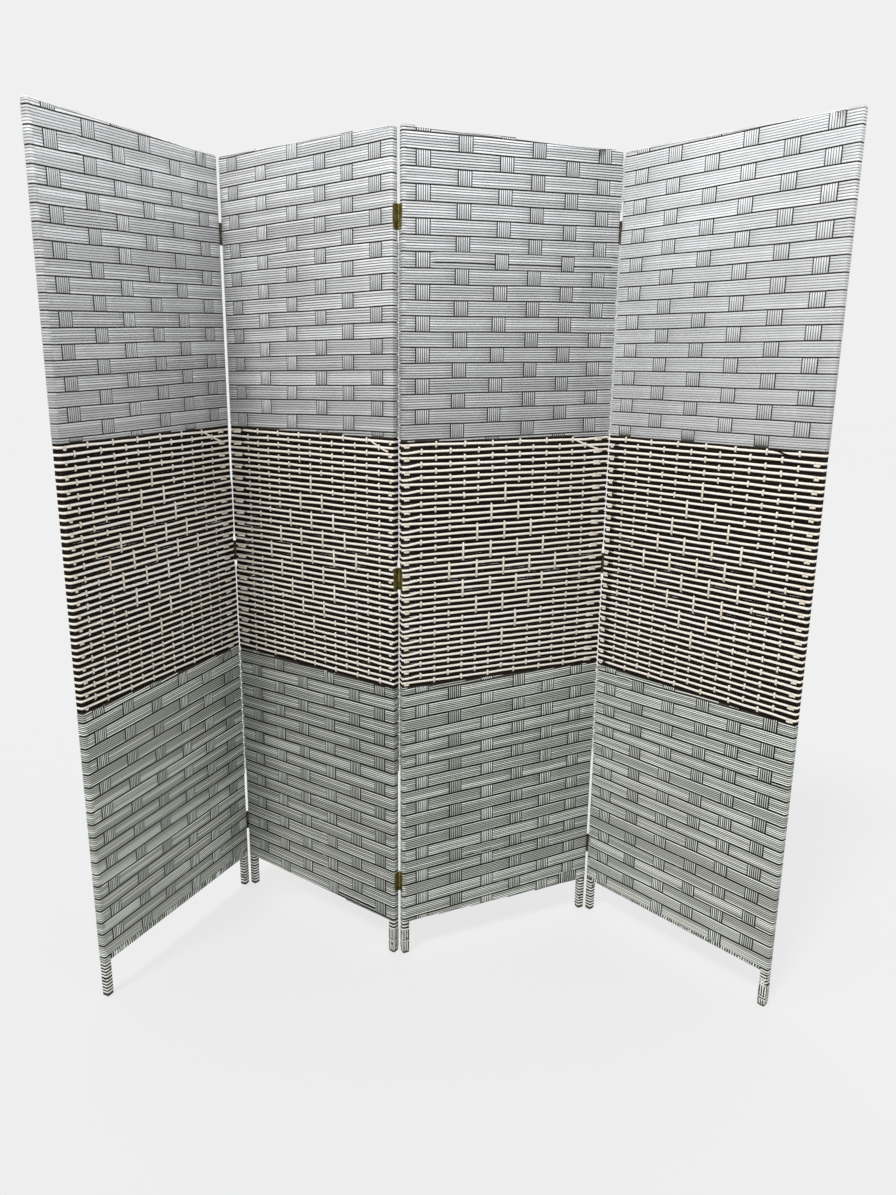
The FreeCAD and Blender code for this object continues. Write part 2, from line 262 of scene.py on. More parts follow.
# Loose ends of cord at the upper right of each band, from one place to the other, and their colour
LOOSE_ENDS = {
    1: ((0.396, 1.2035), (0.475, 1.1725), "cream"),
    2: ((0.420, 1.2075), (0.481, 1.1800), "cream"),
    3: ((0.396, 1.2025), (0.473, 1.1750), "cream"),
    4: ((0.375, 1.2070), (0.478, 1.1900), "dark"),
}
LOOSE_SAG = 0.0022
LOOSE_WIDE = 0.0021
# How far out such a bare cord lies, how far its ends dive, how sharply, and its stations
LOOSE_BOW = (0.0089, 0.0022, 6, 9)
# Gaps where a cord hangs slack: row, last cord above the gap, start, end and height of the gap
UPPER_SLACK = {1: ((2, 5, 0.075, 0.105, 0.0016),), 3: ((8, 3, 0.050, 0.480, 0.0020),)}
LOWER_SLACK = {3: ((14, 4, 0.143, 0.179, 0.0020), (14, 4, 0.186, 0.224, 0.0018)),
               4: ((0, 0, 0.046, 0.091, 0.0018), (4, 4, 0.398, 0.490, 0.0024),
                   (16, 4, 0.246, 0.490, 0.0014))}

# Turns wound upright over the bottom edge: the line they hang from, and from where to where. On
# two panels they take the place of the edge's cords.
BOTTOM_TURNS = {1: (19, 0.012, 0.467), 3: (19, 0.413, 0.455), 4: (20, 0.012, 0.467)}
BOTTOM_EDGE_CORDS = (2, 3)
BOTTOM_PITCH = 0.0060
BOTTOM_FILL = 0.38
BOTTOM_WOBBLE = 0.0003
BOTTOM_UNEVEN = 0.0008
BOTTOM_TINT = 1.3
BOTTOM_CLEAR = 0.004
BOTTOM_EASE = 0.0005
# One turn: depth and height over its line, then depth, height over the edge, and direction
TURN_HANG = ((0.0068, 0.0022), (0.0087, -0.0006))
TURN_ROUND = ((0.0088, 0.0036, 1.0, 0.0), (0.0078, 0.0014, 0.7, -0.7), (0.0050, 0.0004, 0.2, -1.0))
TURN_BOTTOM = 0.0001

# A slit above the bottom edge of one panel, from and to, below and above, with one bare cord
SLIT_PANEL = 2
SLIT = (0.313, 0.428, 0.0872, 0.0990)
SLIT_EASE = 0.001
SLIT_REACH = 0.012
SLIT_BOW = (0.0088, 0.0018, 8, 8)
SLIT_RISE = 0.0008
SLIT_WIDE = 0.0013
SLIT_THICK = 0.0007
SLIT_TINT = 2.5


def smooth_step(value):
    held = np.clip(value, 0, 1)
    return held * held * (3 - 2 * held)


def wavering(waves, phases, u):
    """A gentle unevenness along a row, from waves given by size and frequency."""
    return sum(size * np.sin(u * often + phase) for (size, often), phase in zip(waves, phases))


def flat(out_u, out_v):
    """Directions that lie level."""
    return np.column_stack([out_u, out_v, np.zeros(len(out_u))])


def put(name, data):
    """Makes an object of its data and links it to the scene."""
    thing = bpy.data.objects.new(name, data)
    bpy.context.scene.collection.objects.link(thing)
    return thing


class Panel:
    """One panel's own directions and heights, read from the frame."""

    def __init__(self, number):
        self.number = number
        self.body = f"panel_{number}"
        self.origin = self.post("left")
        step = self.post("right") - self.origin
        self.width = float(np.linalg.norm(step))
        self.along = step / self.width
        self.front = np.array([self.along[1], -self.along[0]])
        self.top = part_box(f"{self.body}_upper_weave")[1].z
        self.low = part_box(f"{self.body}_lower_weave")[0].z

    def post(self, side):
        """The axis of a post, from above."""
        low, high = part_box(f"{self.body}_{side}_foot_wrap")
        middle = (low + high) / 2
        return np.array([middle.x, middle.y])

    def corner(self, side, z):
        """Corner radius of a post at a height, how far its side and face stand out, how sharp it is."""
        shut = 0.0
        if (self.number, side) in SHUT:
            low, high = SHUT[self.number, side]
            shut = float(smooth_step((z - low) / SHUT_EASE) * smooth_step((high - z) / SHUT_EASE))
        for middle in HINGES:
            shut *= float(smooth_step((abs(z - middle) - HINGE_CLEAR) / HINGE_EASE))
        return CORNER + (CORNER_SHUT - CORNER) * shut, SIDE_SHUT * shut, FACE_SHUT * shut, shut

    def world(self, points):
        """Points given as (u, v, z) rows, in the frame's own axes."""
        level = self.origin + points[:, :1] * self.along + points[:, 1:2] * self.front
        return np.column_stack([level, points[:, 2]])


# A cord's section: the turn of each point from straight out of the face, the points that lie in
# the gap above or below a row's outer cords, and those on its sides; both sets get painted shade
SECTION = np.radians((0, 38, 76, 130, 230, 284, 322))
SIDES = len(SECTION)
SEAM_POINTS = {0: [2, 3], CORDS_IN_ROW - 1: [4, 5]}
SHADED_FLANKS = np.array((0.0, 0.0, 1.0, 1.0, 1.0, 1.0, 0.0))
# How dark the painted shade on the sides of cords is in rows with stronger lines.
STRONG_ROW_SHADE = 0.75
# Which end of a length of cord each corner of its faces belongs to
QUAD_ENDS = [0, 0, 1, 1]
# Each turn of cord has its own strip of the bake layout, with both caps at the strip's end
STRIP_FILL = 0.9
STRIP_LONG = 0.965
CAP_TURNS = np.linspace(0, math.tau, SIDES, endpoint=False)
CAP_PLACES = (0.978, 0.992)
CAP_SIZE = (0.002, 0.3)


class Cords:
    """Lengths of cord gathered into one mesh: oval tubes, open or closed in a ring."""

    def __init__(self):
        self.points = []
        self.tints = []
        self.shade_and_grime_values = []
        self.corners = []
        self.starts = []
        self.strand = []
        self.bake = []
        self.count = 0
        self.corner_count = 0
        self.strips = 0

    def lay(self, path, side, out, wide, thick, closed=False, tint=0.0, soot=0.0, turns=None):
        """Adds one cord along path; side and out are its unit directions across and outward."""
        n = len(path)
        side = np.broadcast_to(side, (n, 3))
        out = np.broadcast_to(out, (n, 3))
        wide = np.broadcast_to(wide, n)[:, None, None]
        ring = (path[:, None, :] + side[:, None, :] * np.sin(SECTION)[None, :, None] * wide
                + out[:, None, :] * np.cos(SECTION)[None, :, None] * thick)
        self.points.append(ring.reshape(-1, 3))
        self.tints.append(np.repeat(np.broadcast_to(tint, n), SIDES))
        soot = np.broadcast_to(soot, n)[:, None] if np.ndim(soot) < 2 else soot
        self.shade_and_grime_values.append(np.broadcast_to(soot, (n, SIDES)).ravel())
        last = n if closed else n - 1
        here = np.arange(last)[:, None] * SIDES
        then = (here + SIDES) % (n * SIDES)
        spoke = np.arange(SIDES)
        beside = (spoke + 1) % SIDES
        quads = np.stack([here + spoke, here + beside, then + beside, then + spoke], axis=-1)
        flip = np.dot(np.cross(side[0], path[1] - path[0]), out[0]) < 0
        gaps = np.linalg.norm(np.roll(path, -1, axis=0) - path, axis=1)
        reach = np.concatenate([[0.0], np.cumsum(gaps[:last])])
        ends = np.column_stack([reach[:-1], reach[1:]])
        turns = np.zeros(last, int) if turns is None else turns[:last]
        share = np.empty((last, 2))
        for turn in np.unique(turns):
            mine = np.flatnonzero(turns == turn)
            first = reach[mine[0]]
            share[mine] = (ends[mine] - first) / (reach[mine[-1] + 1] - first)
        strip = self.strips + turns - turns.min()
        around = np.stack([spoke, spoke + 1, spoke + 1, spoke], axis=1) / SIDES
        strand = np.empty((last, SIDES, 4, 2))
        strand[..., 0] = ends[:, None, QUAD_ENDS]
        strand[..., 1] = around
        bake = np.empty_like(strand)
        bake[..., 0] = share[:, None, QUAD_ENDS] * STRIP_LONG
        bake[..., 1] = (0.5 - STRIP_FILL / 2) + STRIP_FILL * around + strip[:, None, None]
        order = -1 if flip else 1
        self.add(quads[..., ::order].reshape(-1, 4), strand[:, :, ::order], bake[:, :, ::order])
        if not closed:
            for which, end in enumerate((0, n - 1)):
                order = 1 if (which == 0) == flip else -1
                disc = np.column_stack([np.cos(CAP_TURNS), np.sin(CAP_TURNS)])[::order]
                cap = disc * CAP_SIZE + (CAP_PLACES[which], 0.5 + strip[-which])
                strand = np.tile((reach[-1] * which, 0.5), (SIDES, 1))
                self.add((end * SIDES + spoke)[None, ::order], strand, cap)
        self.count += n * SIDES
        self.strips += int(turns.max() - turns.min()) + 1

    def add(self, faces, strand, bake):
        """Adds faces of one size, with their places along the strand and on the bake layout."""
        self.corners.append((faces + self.count).ravel())
        self.starts.append(self.corner_count + np.arange(len(faces)) * faces.shape[1])
        self.corner_count += faces.size
        self.strand.append(strand.reshape(-1, 2))
        self.bake.append(bake.reshape(-1, 2))

    def build(self, name, panel, material, slot, *nodes):
        """Makes the mesh, in its place on the panel, riding on the panel's body."""
        mesh = bpy.data.meshes.new(name)
        points = panel.world(np.concatenate(self.points))
        corners = np.concatenate(self.corners)
        starts = np.concatenate(self.starts)
        mesh.vertices.add(len(points))
        mesh.vertices.foreach_set("co", points.astype(np.float32).ravel())
        mesh.loops.add(len(corners))
        mesh.loops.foreach_set("vertex_index", corners.astype(np.int32))
        mesh.polygons.add(len(starts))
        mesh.polygons.foreach_set("loop_start", starts.astype(np.int32))
        mesh.update(calc_edges=True)
        mesh.polygons.foreach_set("use_smooth", np.ones(len(starts), bool))
        # The second attribute holds painted shade for the gaps, hollows and dives of the weave, and uneven
        # dark patches on the feet.
        for label, values in (("tint", self.tints), ("soot", self.shade_and_grime_values)):
            attribute = mesh.attributes.new(label, "FLOAT", "POINT")
            attribute.data.foreach_set("value", np.concatenate(values).astype(np.float32))
        for label, values, tall in (("strand", self.strand, 1), ("OFBake", self.bake, self.strips)):
            layer = mesh.uv_layers.new(name=label)
            layer.uv.foreach_set("vector", (np.concatenate(values) / (1, tall)).astype(np.float32).ravel())
        mesh.materials.append(material)
        piece = put(name, mesh)
        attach(piece, panel.body)
        if nodes:
            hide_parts(*nodes)


def arc_stations(middle_u, middle_v, start, corner, tip=0.0):
    """A quarter turn round a corner in three stations, the middle one standing out by tip."""
    turn = np.radians(start - np.array((0, 45, 90)))
    reach = corner + np.array((0.0, tip, 0.0))
    return (middle_u + reach * np.cos(turn), middle_v + reach * np.sin(turn),
            np.cos(turn), np.sin(turn), np.zeros(len(turn)))


def round_posts(width, face_places, depth, left, right):
    """The way round both posts, as u, v and the outward direction, from the left of the front.

    Left and right give the corner radius of a post, how far its side and its face stand out and how
    sharp it is. Also says which stations lie on the front (1), on the back (-1) or round a post (0)."""
    n = len(face_places)
    corner, side_out, face_out, sharp = right
    reach = width + depth - corner + side_out
    near = depth - corner + face_out
    tip = SHARPEN * sharp
    pieces = [(face_places, np.full(n, depth), np.zeros(n), np.ones(n), np.ones(n)),
              arc_stations(reach, near, 90, corner, tip), arc_stations(reach, -near, 0, corner, tip),
              (face_places[::-1], np.full(n, -depth), np.zeros(n), -np.ones(n), -np.ones(n))]
    corner, side_out, face_out, sharp = left
    reach = corner - depth - side_out
    near = depth - corner + face_out
    tip = SHARPEN * sharp
    pieces += [arc_stations(reach, -near, -90, corner, tip), arc_stations(reach, near, 180, corner, tip)]
    return [np.concatenate(parts) for parts in zip(*pieces)]


def on_faces(values, face, elsewhere=0.0):
    """Values given along the front, the same at the back, and one value round the posts."""
    found = np.full(len(face), elsewhere)
    found[face == 1] = values
    found[face == -1] = values[::-1]
    return found


def runs_of(mask, shortest):
    """Stretches of neighbouring stations where mask is true, if they are long enough."""
    places = np.flatnonzero(mask)
    runs = np.split(places, np.flatnonzero(np.diff(places) > 1) + 1)
    return [run for run in runs if len(run) >= shortest]


def lay_upright_stations(cords, u, stations, wide, thick, tint, soot):
    """One cord in an upright plane, from stations of depth, height and direction outward and up."""
    v, z, out_v, out_z = np.array(stations, float).T
    path = np.column_stack([np.broadcast_to(u, len(v)), v, z])
    out = np.column_stack([np.zeros(len(v)), out_v, out_z])
    out /= np.linalg.norm(out, axis=1)[:, None]
    cords.lay(path, ALONG, out, wide, thick, tint=tint, soot=soot)


class Field:
    """The rows of wefts and the columns of warps of one grey field."""

    def __init__(self, panel, numbers, high, low, gap, column_top, slack):
        self.panel = panel
        self.width = panel.width
        self.numbers = numbers
        self.high = high
        self.low = low
        self.floor = low
        self.gap = gap
        self.column_top = column_top
        self.slack = slack
        self.breaks = []
        for row, above, start, end, size in slack:
            self.breaks += [start, start + SLACK_EASE, end - SLACK_EASE, end]
        self.fall = np.polyfit(MARK_LINES, numbers["marks"], 2)
        self.waves = {row: (dice.uniform(0, math.tau, 2), dice.uniform(0.5, 1.0)) for row in ROW_NUMBERS}

    def height(self, row):
        """Height of a row's upper edge where the lines were read; rows may be fractions."""
        return float(np.polyval(self.fall, row))

    def line(self, row, u):
        """Height of the upper edge of a row at places u of the front."""
        rise = np.interp(row, RISE_LINES, self.numbers["rises"])
        phases, strength = self.waves[row]
        (size, often), second = GREY_WAVES
        wave = wavering(((size * strength, often), second), phases, u)
        return self.height(row) + rise * (u - LINES_READ_AT) / self.width + wave

    def back_line(self, row, u):
        """The same at the back, where the rows climb on to the start of the row above."""
        share = np.clip((self.width - u) / self.width, 0, 1)
        return self.line(row, self.width) * (1 - share) + self.line(row - 1, 0.0) * share

    def column(self, index, z):
        """Place of a column's middle at a height."""
        share = np.clip(self.column_top - z, 0, COLUMN_FALL) / COLUMN_FALL
        top = self.numbers["top"][index - 1]
        foot = self.numbers["foot"][index - 1]
        return top + (foot - top) * share

    def over(self, row, index):
        """True where the column's warps pass over the row."""
        return (row + index) % 2 == self.numbers["shown"]

    def rows(self):
        """The rows that lie wholly or partly in the field."""
        return [row for row in ROW_NUMBERS
                if self.height(row) > self.low(EDGE_READ_AT) - ROW_MARGIN
                and self.height(row + 1) < self.high(EDGE_READ_AT) + ROW_MARGIN]

    def weft_stations(self, row):
        """Places along a face for a row, the depth there and the painted shade where the row dives under
        each patch.
        """
        z = self.height(row + 0.5)
        middles = [self.column(index, z) for index in COLUMNS]
        stations = [(FACE_START, WRAP_DEPTH, 0.0), (self.width - FACE_START, WRAP_DEPTH, 0.0)]
        stations += [((one + other) / 2, WRAP_DEPTH, 0.0) for one, other in zip(middles, middles[1:])]
        for index, middle in zip(COLUMNS, middles):
            # Where a row dives under a patch it gets painted shade.
            low, under_shade = (WEFT_UNDER, 1.0) if self.over(row, index) else (WRAP_DEPTH, 0.0)
            stations += [(middle - DIVE_TO, WRAP_DEPTH, 0.0), (middle - DIVE_AT, low, under_shade),
                         (middle + DIVE_AT, low, under_shade), (middle + DIVE_TO, WRAP_DEPTH, 0.0)]
        places, depths, shade_and_grime_values = np.array(sorted(stations)).T
        found = np.clip([*places, *self.breaks], FACE_START, self.width - FACE_START)
        found = np.unique(found)
        return found, np.interp(found, places, depths), np.interp(found, places, shade_and_grime_values)

    def cord_height(self, row, cord, u, front):
        """Height of a row's cord at places u, with the slack ones hanging away from their gap."""
        line = self.line if front else self.back_line
        upper = line(row, u)
        lower = line(row + 1, u)
        share = (cord + 0.5) / CORDS_IN_ROW
        shift = np.zeros(np.shape(u))
        for slack_row, above, start, end, size in self.slack:
            if front and slack_row == row:
                here = smooth_step((u - start) / SLACK_EASE) * smooth_step((end - u) / SLACK_EASE)
                shift = shift + here * (size * (SLACK_LIFT if cord <= above else SLACK_LIFT - 1))
        return upper - self.gap / 2 - (upper - lower - self.gap) * share + shift

    def weft_turn(self, row, cord):
        """One cord of a row, once round both posts, with what each of its stations has."""
        places, depths, shade_and_grime_values = self.weft_stations(row)
        corners = [self.panel.corner(side, self.height(row + 0.5)) for side in POSTS]
        u, v, out_u, out_v, face = round_posts(self.width, places, WRAP_DEPTH, *corners)
        n = len(u)
        held = np.clip(u, 0, self.width)
        after = np.arange(n) >= np.flatnonzero(face == -1)[0]
        z = np.where(after, self.cord_height(row, cord, held, False),
                     self.cord_height(row, cord, held, True)) + dice.normal(0, WEFT_WOBBLE, n)
        pitch = self.line(row, PITCH_READ_AT) - self.line(row + 1, PITCH_READ_AT)
        wide = (pitch - self.gap) / CORDS_IN_ROW / 2 * (WEFT_OVERLAP * dice.uniform(*WEFT_UNEVEN))
        tint = dice.normal(0, 1)
        return (u, v, z, out_u, out_v, face, on_faces(depths - WRAP_DEPTH, face), on_faces(shade_and_grime_values, face),
                np.full(n, wide), np.full(n, tint), np.full(n, row))

    def lay_wefts(self, cords, strong_rows):
        """All wefts as six cords that wind round the posts side by side, one row a turn."""
        for cord in range(CORDS_IN_ROW):
            parts = [self.weft_turn(row, cord) for row in reversed(self.rows())]
            u, v, z, out_u, out_v, face, extra, under_shade, wide, tint, turn = [
                np.concatenate(values) for values in zip(*parts)]
            high = self.high(u)
            low = self.floor(u)
            half = float(np.mean(wide))
            near_top = smooth_step((z - (high - TUCK_TOP * half)) / (TUCK_EASE * half))
            near_low = smooth_step(((low + TUCK_LOW * half) - z) / (TUCK_EASE * half))
            extra = np.maximum(extra - TUCK * np.maximum(near_top, near_low), WEFT_UNDER - WRAP_DEPTH)
            # Painted shade on the sides of cords in rows with stronger lines, and on the points beside the
            # gap between rows.
            strength = np.isin(turn, strong_rows) * STRONG_ROW_SHADE
            rim = np.zeros(SIDES)
            rim[SEAM_POINTS.get(cord, [])] = 1.0
            alive = (z < high - STOP_TOP * half) & (z > low - STOP_LOW * half)
            if self.panel.number == SLIT_PANEL:
                alive &= ~((face > 0) & (u > SLIT[0]) & (u < SLIT[1]) & (z > SLIT[2]) & (z < SLIT[3]))
            path = np.column_stack([u + out_u * extra, v + out_v * extra, z])
            out = flat(out_u, out_v)
            for run in runs_of(alive, 3):
                soot = np.maximum(under_shade[run, None], rim[None, :])
                soot = np.maximum(soot, strength[run, None] * SHADED_FLANKS[None, :])
                cords.lay(path[run], UP, out[run], wide[run], WEFT_THICK, tint=tint[run], soot=soot,
                          turns=turn[run].max() - turn[run])

    def seam_fits(self, u, z):
        """True where a seam keeps off the field's edges."""
        return (z < self.high(u) - SEAM_WIDE) & (z > self.floor(u) + SEAM_WIDE)

    def lay_shadow_seams(self, cords):
        """A dark flat cord behind each gap between rows, on both faces and round the posts: a painted
        shadow where the gap has only shade.
        """
        u = np.linspace(SEAM_END, self.width - SEAM_END, SEAM_STATIONS)
        for row in self.rows():
            for sign, line in ((1.0, self.line), (-1.0, self.back_line)):
                z = line(row, u)
                for run in runs_of(self.seam_fits(u, z), 2):
                    path = np.column_stack([u[run], np.full(len(run), sign * SEAM_DEPTH), z[run]])
                    cords.lay(path, UP, (0.0, sign, 0.0), SEAM_WIDE, SEAM_THICK, soot=1.0)
            for middle, turned in ((0.0, -1.0), (self.width, 1.0)):
                self.lay_post_shadow_seam(cords, row, middle, turned)

    def lay_post_shadow_seam(self, cords, row, middle, turned):
        """The same round the outside of a post, from the front face to the back."""
        level = self.line(row, middle)
        if not self.seam_fits(middle, level):
            return
        near = POST_SEAM - POST_SEAM_CORNER
        arc = np.array(arc_stations(near, near, 90, POST_SEAM_CORNER)[:4]).T
        front = np.vstack([(-SEAM_REACH, POST_SEAM, 0.0, 1.0), arc])
        back = front[::-1] * (1.0, -1.0, 1.0, -1.0)
        u, v, out_u, out_v = np.vstack([front, back]).T
        path = np.column_stack([middle + turned * u, v, np.full(len(u), level)])
        cords.lay(path, UP, flat(turned * out_u, out_v), SEAM_WIDE, POST_SEAM_THICK, soot=1.0)

    def warp_stations(self, index, shift, sign):
        """Stations of a warp down one face: place, depth, height, direction outward and up, painted shade.
        """
        line = self.line if sign > 0 else self.back_line
        stations = []
        for row in self.rows():
            u = self.column(index, self.height(row + 0.5)) + shift
            shape = OVER_ROW if self.over(row, index) else UNDER_ROW
            upper = line(row, u)
            lower = line(row + 1, u)
            for edge, up, part in ((upper, 1, shape), (lower, -1, shape[::-1])):
                stations += [(u, sign * depth, edge - up * drop, sign, 0.0, soot)
                             for drop, depth, soot in part]
        return [station for station in stations
                if self.low(station[0]) + WARP_MARGIN < station[2] < self.high(station[0]) - WARP_MARGIN]

    def warp_end(self, station, sign, up, rolls):
        """How a warp ends above (up 1) or below (up -1): rolled over the edge, or tucked in."""
        u = station[0]
        depth = abs(station[1])
        edge = self.high(u) if up > 0 else self.low(u)
        if rolls and depth > ROLL_FROM:
            found = [(u, sign * deep, edge - up * drop, sign * out, up * lift, 0.0)
                     for deep, drop, out, lift in ROLL]
        else:
            short = ROLL_SHORT if rolls else 0.0
            found = [(u, sign * (depth - WARP_TUCK), edge - up * short, sign, 0.0, 0.0)]
        return found[::up]

    def lay_warps(self, cords, top_rolls, low_rolls):
        """The six cords of each column, on both faces."""
        for index in COLUMNS:
            tint = dice.normal(0, COLUMN_TINT)
            for cord in range(CORDS_IN_COLUMN):
                shift = (cord - (CORDS_IN_COLUMN - 1) / 2) * COLUMN_PITCH
                for sign in (1.0, -1.0):
                    stations = self.warp_stations(index, shift, sign)
                    start = self.warp_end(stations[0], sign, 1, top_rolls)
                    end = self.warp_end(stations[-1], sign, -1, low_rolls)
                    rows = np.array(start + stations + end)
                    lay_upright_stations(cords, rows[:, 0], rows[:, 1:5], COLUMN_PITCH * COLUMN_FILL,
                                         WARP_THICK, tint + dice.normal(0, WARP_TINT), rows[:, 5])

    def lay_edge(self, cords, level, sign):
        """The two cords along the very edge of the field, one on its corner and one on its rim."""
        for depth, inset, tilt in EDGE_CORDS:
            places = np.linspace(FACE_START, self.width - FACE_START, EDGE_STATIONS)
            corner = (min(CORNER, depth * EDGE_CORNER), 0.0, 0.0, 0.0)
            u, v, out_u, out_v, face = round_posts(self.width, places, depth, corner, corner)
            turn = math.radians(tilt)
            level_out = flat(out_u, out_v)
            upright = np.array((0.0, 0.0, sign))
            out = level_out * math.cos(turn) + upright * math.sin(turn)
            side = upright * math.cos(turn) - level_out * math.sin(turn)
            z = level - sign * inset + dice.normal(0, EDGE_WOBBLE, len(u))
            cords.lay(np.column_stack([u, v, z]), side, out, EDGE_WIDE, WEFT_THICK, closed=True,
                      tint=dice.normal(0, 1))


class Band:
    """The cream rows, the dark cords between them and the thin warps of one dark band."""

    def __init__(self, panel, numbers):
        self.panel = panel
        self.width = panel.width
        self.numbers = numbers
        self.rows = numbers["rows"]
        first, last = numbers["ends"]
        self.pitch = (first - last) / (self.rows - 1)
        self.columns = np.linspace(*numbers["warps"], BAND_COLUMNS)
        self.waves = dice.uniform(0, math.tau, (self.rows + 2, 2))

    def line(self, row, u):
        """Height of a cream row; rows may be fractions, for the cords between them."""
        rise = np.interp((row - 1) / (self.rows - 1), (0, 0.5, 1), self.numbers["rises"])
        phases = self.waves[int(np.clip(round(row), 0, self.rows + 1))]
        middle = self.numbers["ends"][0] - self.pitch * (row - 1)
        return middle + rise * (u - LINES_READ_AT) / self.width + wavering(BAND_WAVES, phases, u)

    def upper_edge(self, u):
        return self.line(1, u) + EDGE_ABOVE_BAND

    def lower_edge(self, u):
        return self.line(self.rows, u) - EDGE_BELOW_BAND

    def dashed(self, row):
        """The columns whose warps make a dash over this row, none outside the diamond."""
        group = (row - self.numbers["diamond"]) // DIAMOND_ROWS
        if not 0 <= group < len(DIAMOND_SPREADS):
            return []
        spread = DIAMOND_SPREADS[group]
        return list(range(DIAMOND_CENTRE - spread, DIAMOND_CENTRE + spread + 1, 2))

    def over(self, row, column):
        """True where a thin warp passes over the cream row."""
        dashes = self.dashed(row)
        if dashes and dashes[0] - 1 <= column <= dashes[-1] + 1:
            return column in dashes
        return (row + column) % 2 == (self.numbers["diamond"] + DIAMOND_CENTRE) % 2

    def block_row(self, row):
        """True for the rows that end in a short double cord at each post."""
        return not self.over(row, 1)

    def lay_cream(self, cords):
        """The cream rows, which dip under the thin warps."""
        gap = BLOCKS[self.panel.number]["gap"]
        for row in range(1, self.rows + 1):
            stations = [(FACE_START, CREAM_DEPTH, 1.0), (self.width - FACE_START, CREAM_DEPTH, 1.0)]
            for column, middle in enumerate(self.columns, 1):
                if self.over(row, column):
                    stations += [(middle + shift, depth, 1.0) for shift, depth in CREAM_DIP]
                else:
                    stations.append((middle, CREAM_DEPTH, 1.0))
            if gap and self.block_row(row):
                start, end = gap
                stations = [station for station in stations
                            if not start - GAP_CLEAR[0] < station[0] < end + GAP_CLEAR[1]]
                stations += [(start + shift, depth, share) for shift, depth, share in GAP_START]
                stations += [(end + shift, depth, share) for shift, depth, share in GAP_END]
            places, depths, wides = np.array(sorted(stations)).T
            self.lay_ring(cords, row, places, depths, CREAM_DEPTH, CREAM_WIDE, CREAM_THICK, wides)

    def lay_dark(self, cords):
        """Two dark cords between each two cream rows, and one above and two below them all."""
        steps = [DARK_STEPS[1]] + [row + step for row in range(1, self.rows + 1) for step in DARK_STEPS]
        middles = (self.columns[1:] + self.columns[:-1]) / 2
        ends = [FACE_START, self.width - FACE_START]
        places = np.sort(np.concatenate([ends, self.columns, middles]))
        for step in steps:
            depths = np.full(len(places), DARK_DEPTH)
            nearest = int(np.clip(round(step), 1, self.rows))
            for column, middle in enumerate(self.columns, 1):
                if self.over(nearest, column):
                    depths[np.argmin(np.abs(places - middle))] -= DARK_DIP
            self.lay_ring(cords, step, places, depths, DARK_DEPTH, DARK_WIDE, DARK_THICK,
                          np.ones(len(places)), DARK_STAND)

    def lay_ring(self, cords, row, places, depths, depth, wide, thick, wides, stand=0.0):
        """One cord round the whole panel; it stands out by stand where a post is sharp."""
        tint = dice.normal(0, 1)
        level = float(self.line(row, LINES_READ_AT))
        corners = []
        for post in POSTS:
            corner, side_out, face_out, sharp = self.panel.corner(post, level)
            corners.append((corner, side_out + stand * sharp, face_out, sharp))
        u, v, out_u, out_v, face = round_posts(self.width, places, depth, *corners)
        extra = on_faces(depths - depth, face)
        held = np.clip(u, 0, self.width)
        z = self.line(row, held) + dice.normal(0, BAND_WOBBLE, len(u))
        z = z + self.sway(row, held) * (face >= 0)
        path = np.column_stack([u + out_u * extra, v + out_v * extra, z])
        wide = wide * on_faces(wides, face, 1.0) * dice.uniform(*BAND_UNEVEN)
        cords.lay(path, UP, flat(out_u, out_v), wide, thick, closed=True, tint=tint)

    def sway(self, row, u):
        """How far a cream row leaves its line near the posts."""
        if row != int(row):
            return np.zeros(np.shape(u))
        dip, lift = BLOCKS[self.panel.number]["sway"]
        if self.block_row(row):
            start, length = SWAY_RIGHT
            return lift * smooth_step((u - self.width + start) / length)
        start, length = SWAY_LEFT
        return -dip * smooth_step((start - u) / length)

    def lay_warps(self, cords):
        """The thin warps, which rise over single rows and over the three rows of a dash."""
        deep, rise = BAND_WARP_DIPS
        for column, u in enumerate(self.columns, 1):
            for sign in (1.0, -1.0):
                stations = [(BAND_WARP_UNDER, self.upper_edge(u))]
                row = 1
                while row <= self.rows:
                    last = row
                    dash = column in self.dashed(row)
                    while dash and last < self.rows and column in self.dashed(last + 1):
                        last += 1
                    if self.over(row, column):
                        upper = self.line(row, u)
                        lower = self.line(last, u)
                        stations += [(BAND_WARP_UNDER, upper + deep), (BAND_WARP_OVER, upper + rise),
                                     (BAND_WARP_OVER, lower - rise), (BAND_WARP_UNDER, lower - deep)]
                    row = last + 1
                stations.append((BAND_WARP_UNDER, self.lower_edge(u)))
                depths, z = np.array(stations).T
                path = np.column_stack([u + dice.normal(0, BAND_WARP_WOBBLE, len(z)), sign * depths, z])
                path = path[np.concatenate([[True], np.diff(z) < -BAND_WARP_STEP])]
                cords.lay(path, ALONG, (0.0, sign, 0.0), BAND_WARP_WIDE, BAND_WARP_THICK,
                          tint=dice.normal(0, 1))

    def lay_blocks(self, cords):
        """The short double cords on the posts."""
        for row in range(1, self.rows + 1):
            if not self.block_row(row):
                continue
            for post in POSTS:
                for drop, deep in BLOCK_CORDS:
                    first, last = [place + dice.normal(0, BLOCK_UNEVEN)
                                   for place in BLOCKS[self.panel.number][post]]
                    self.lay_block(cords, row, first, last, drop, BLOCK_DEPTH + deep)

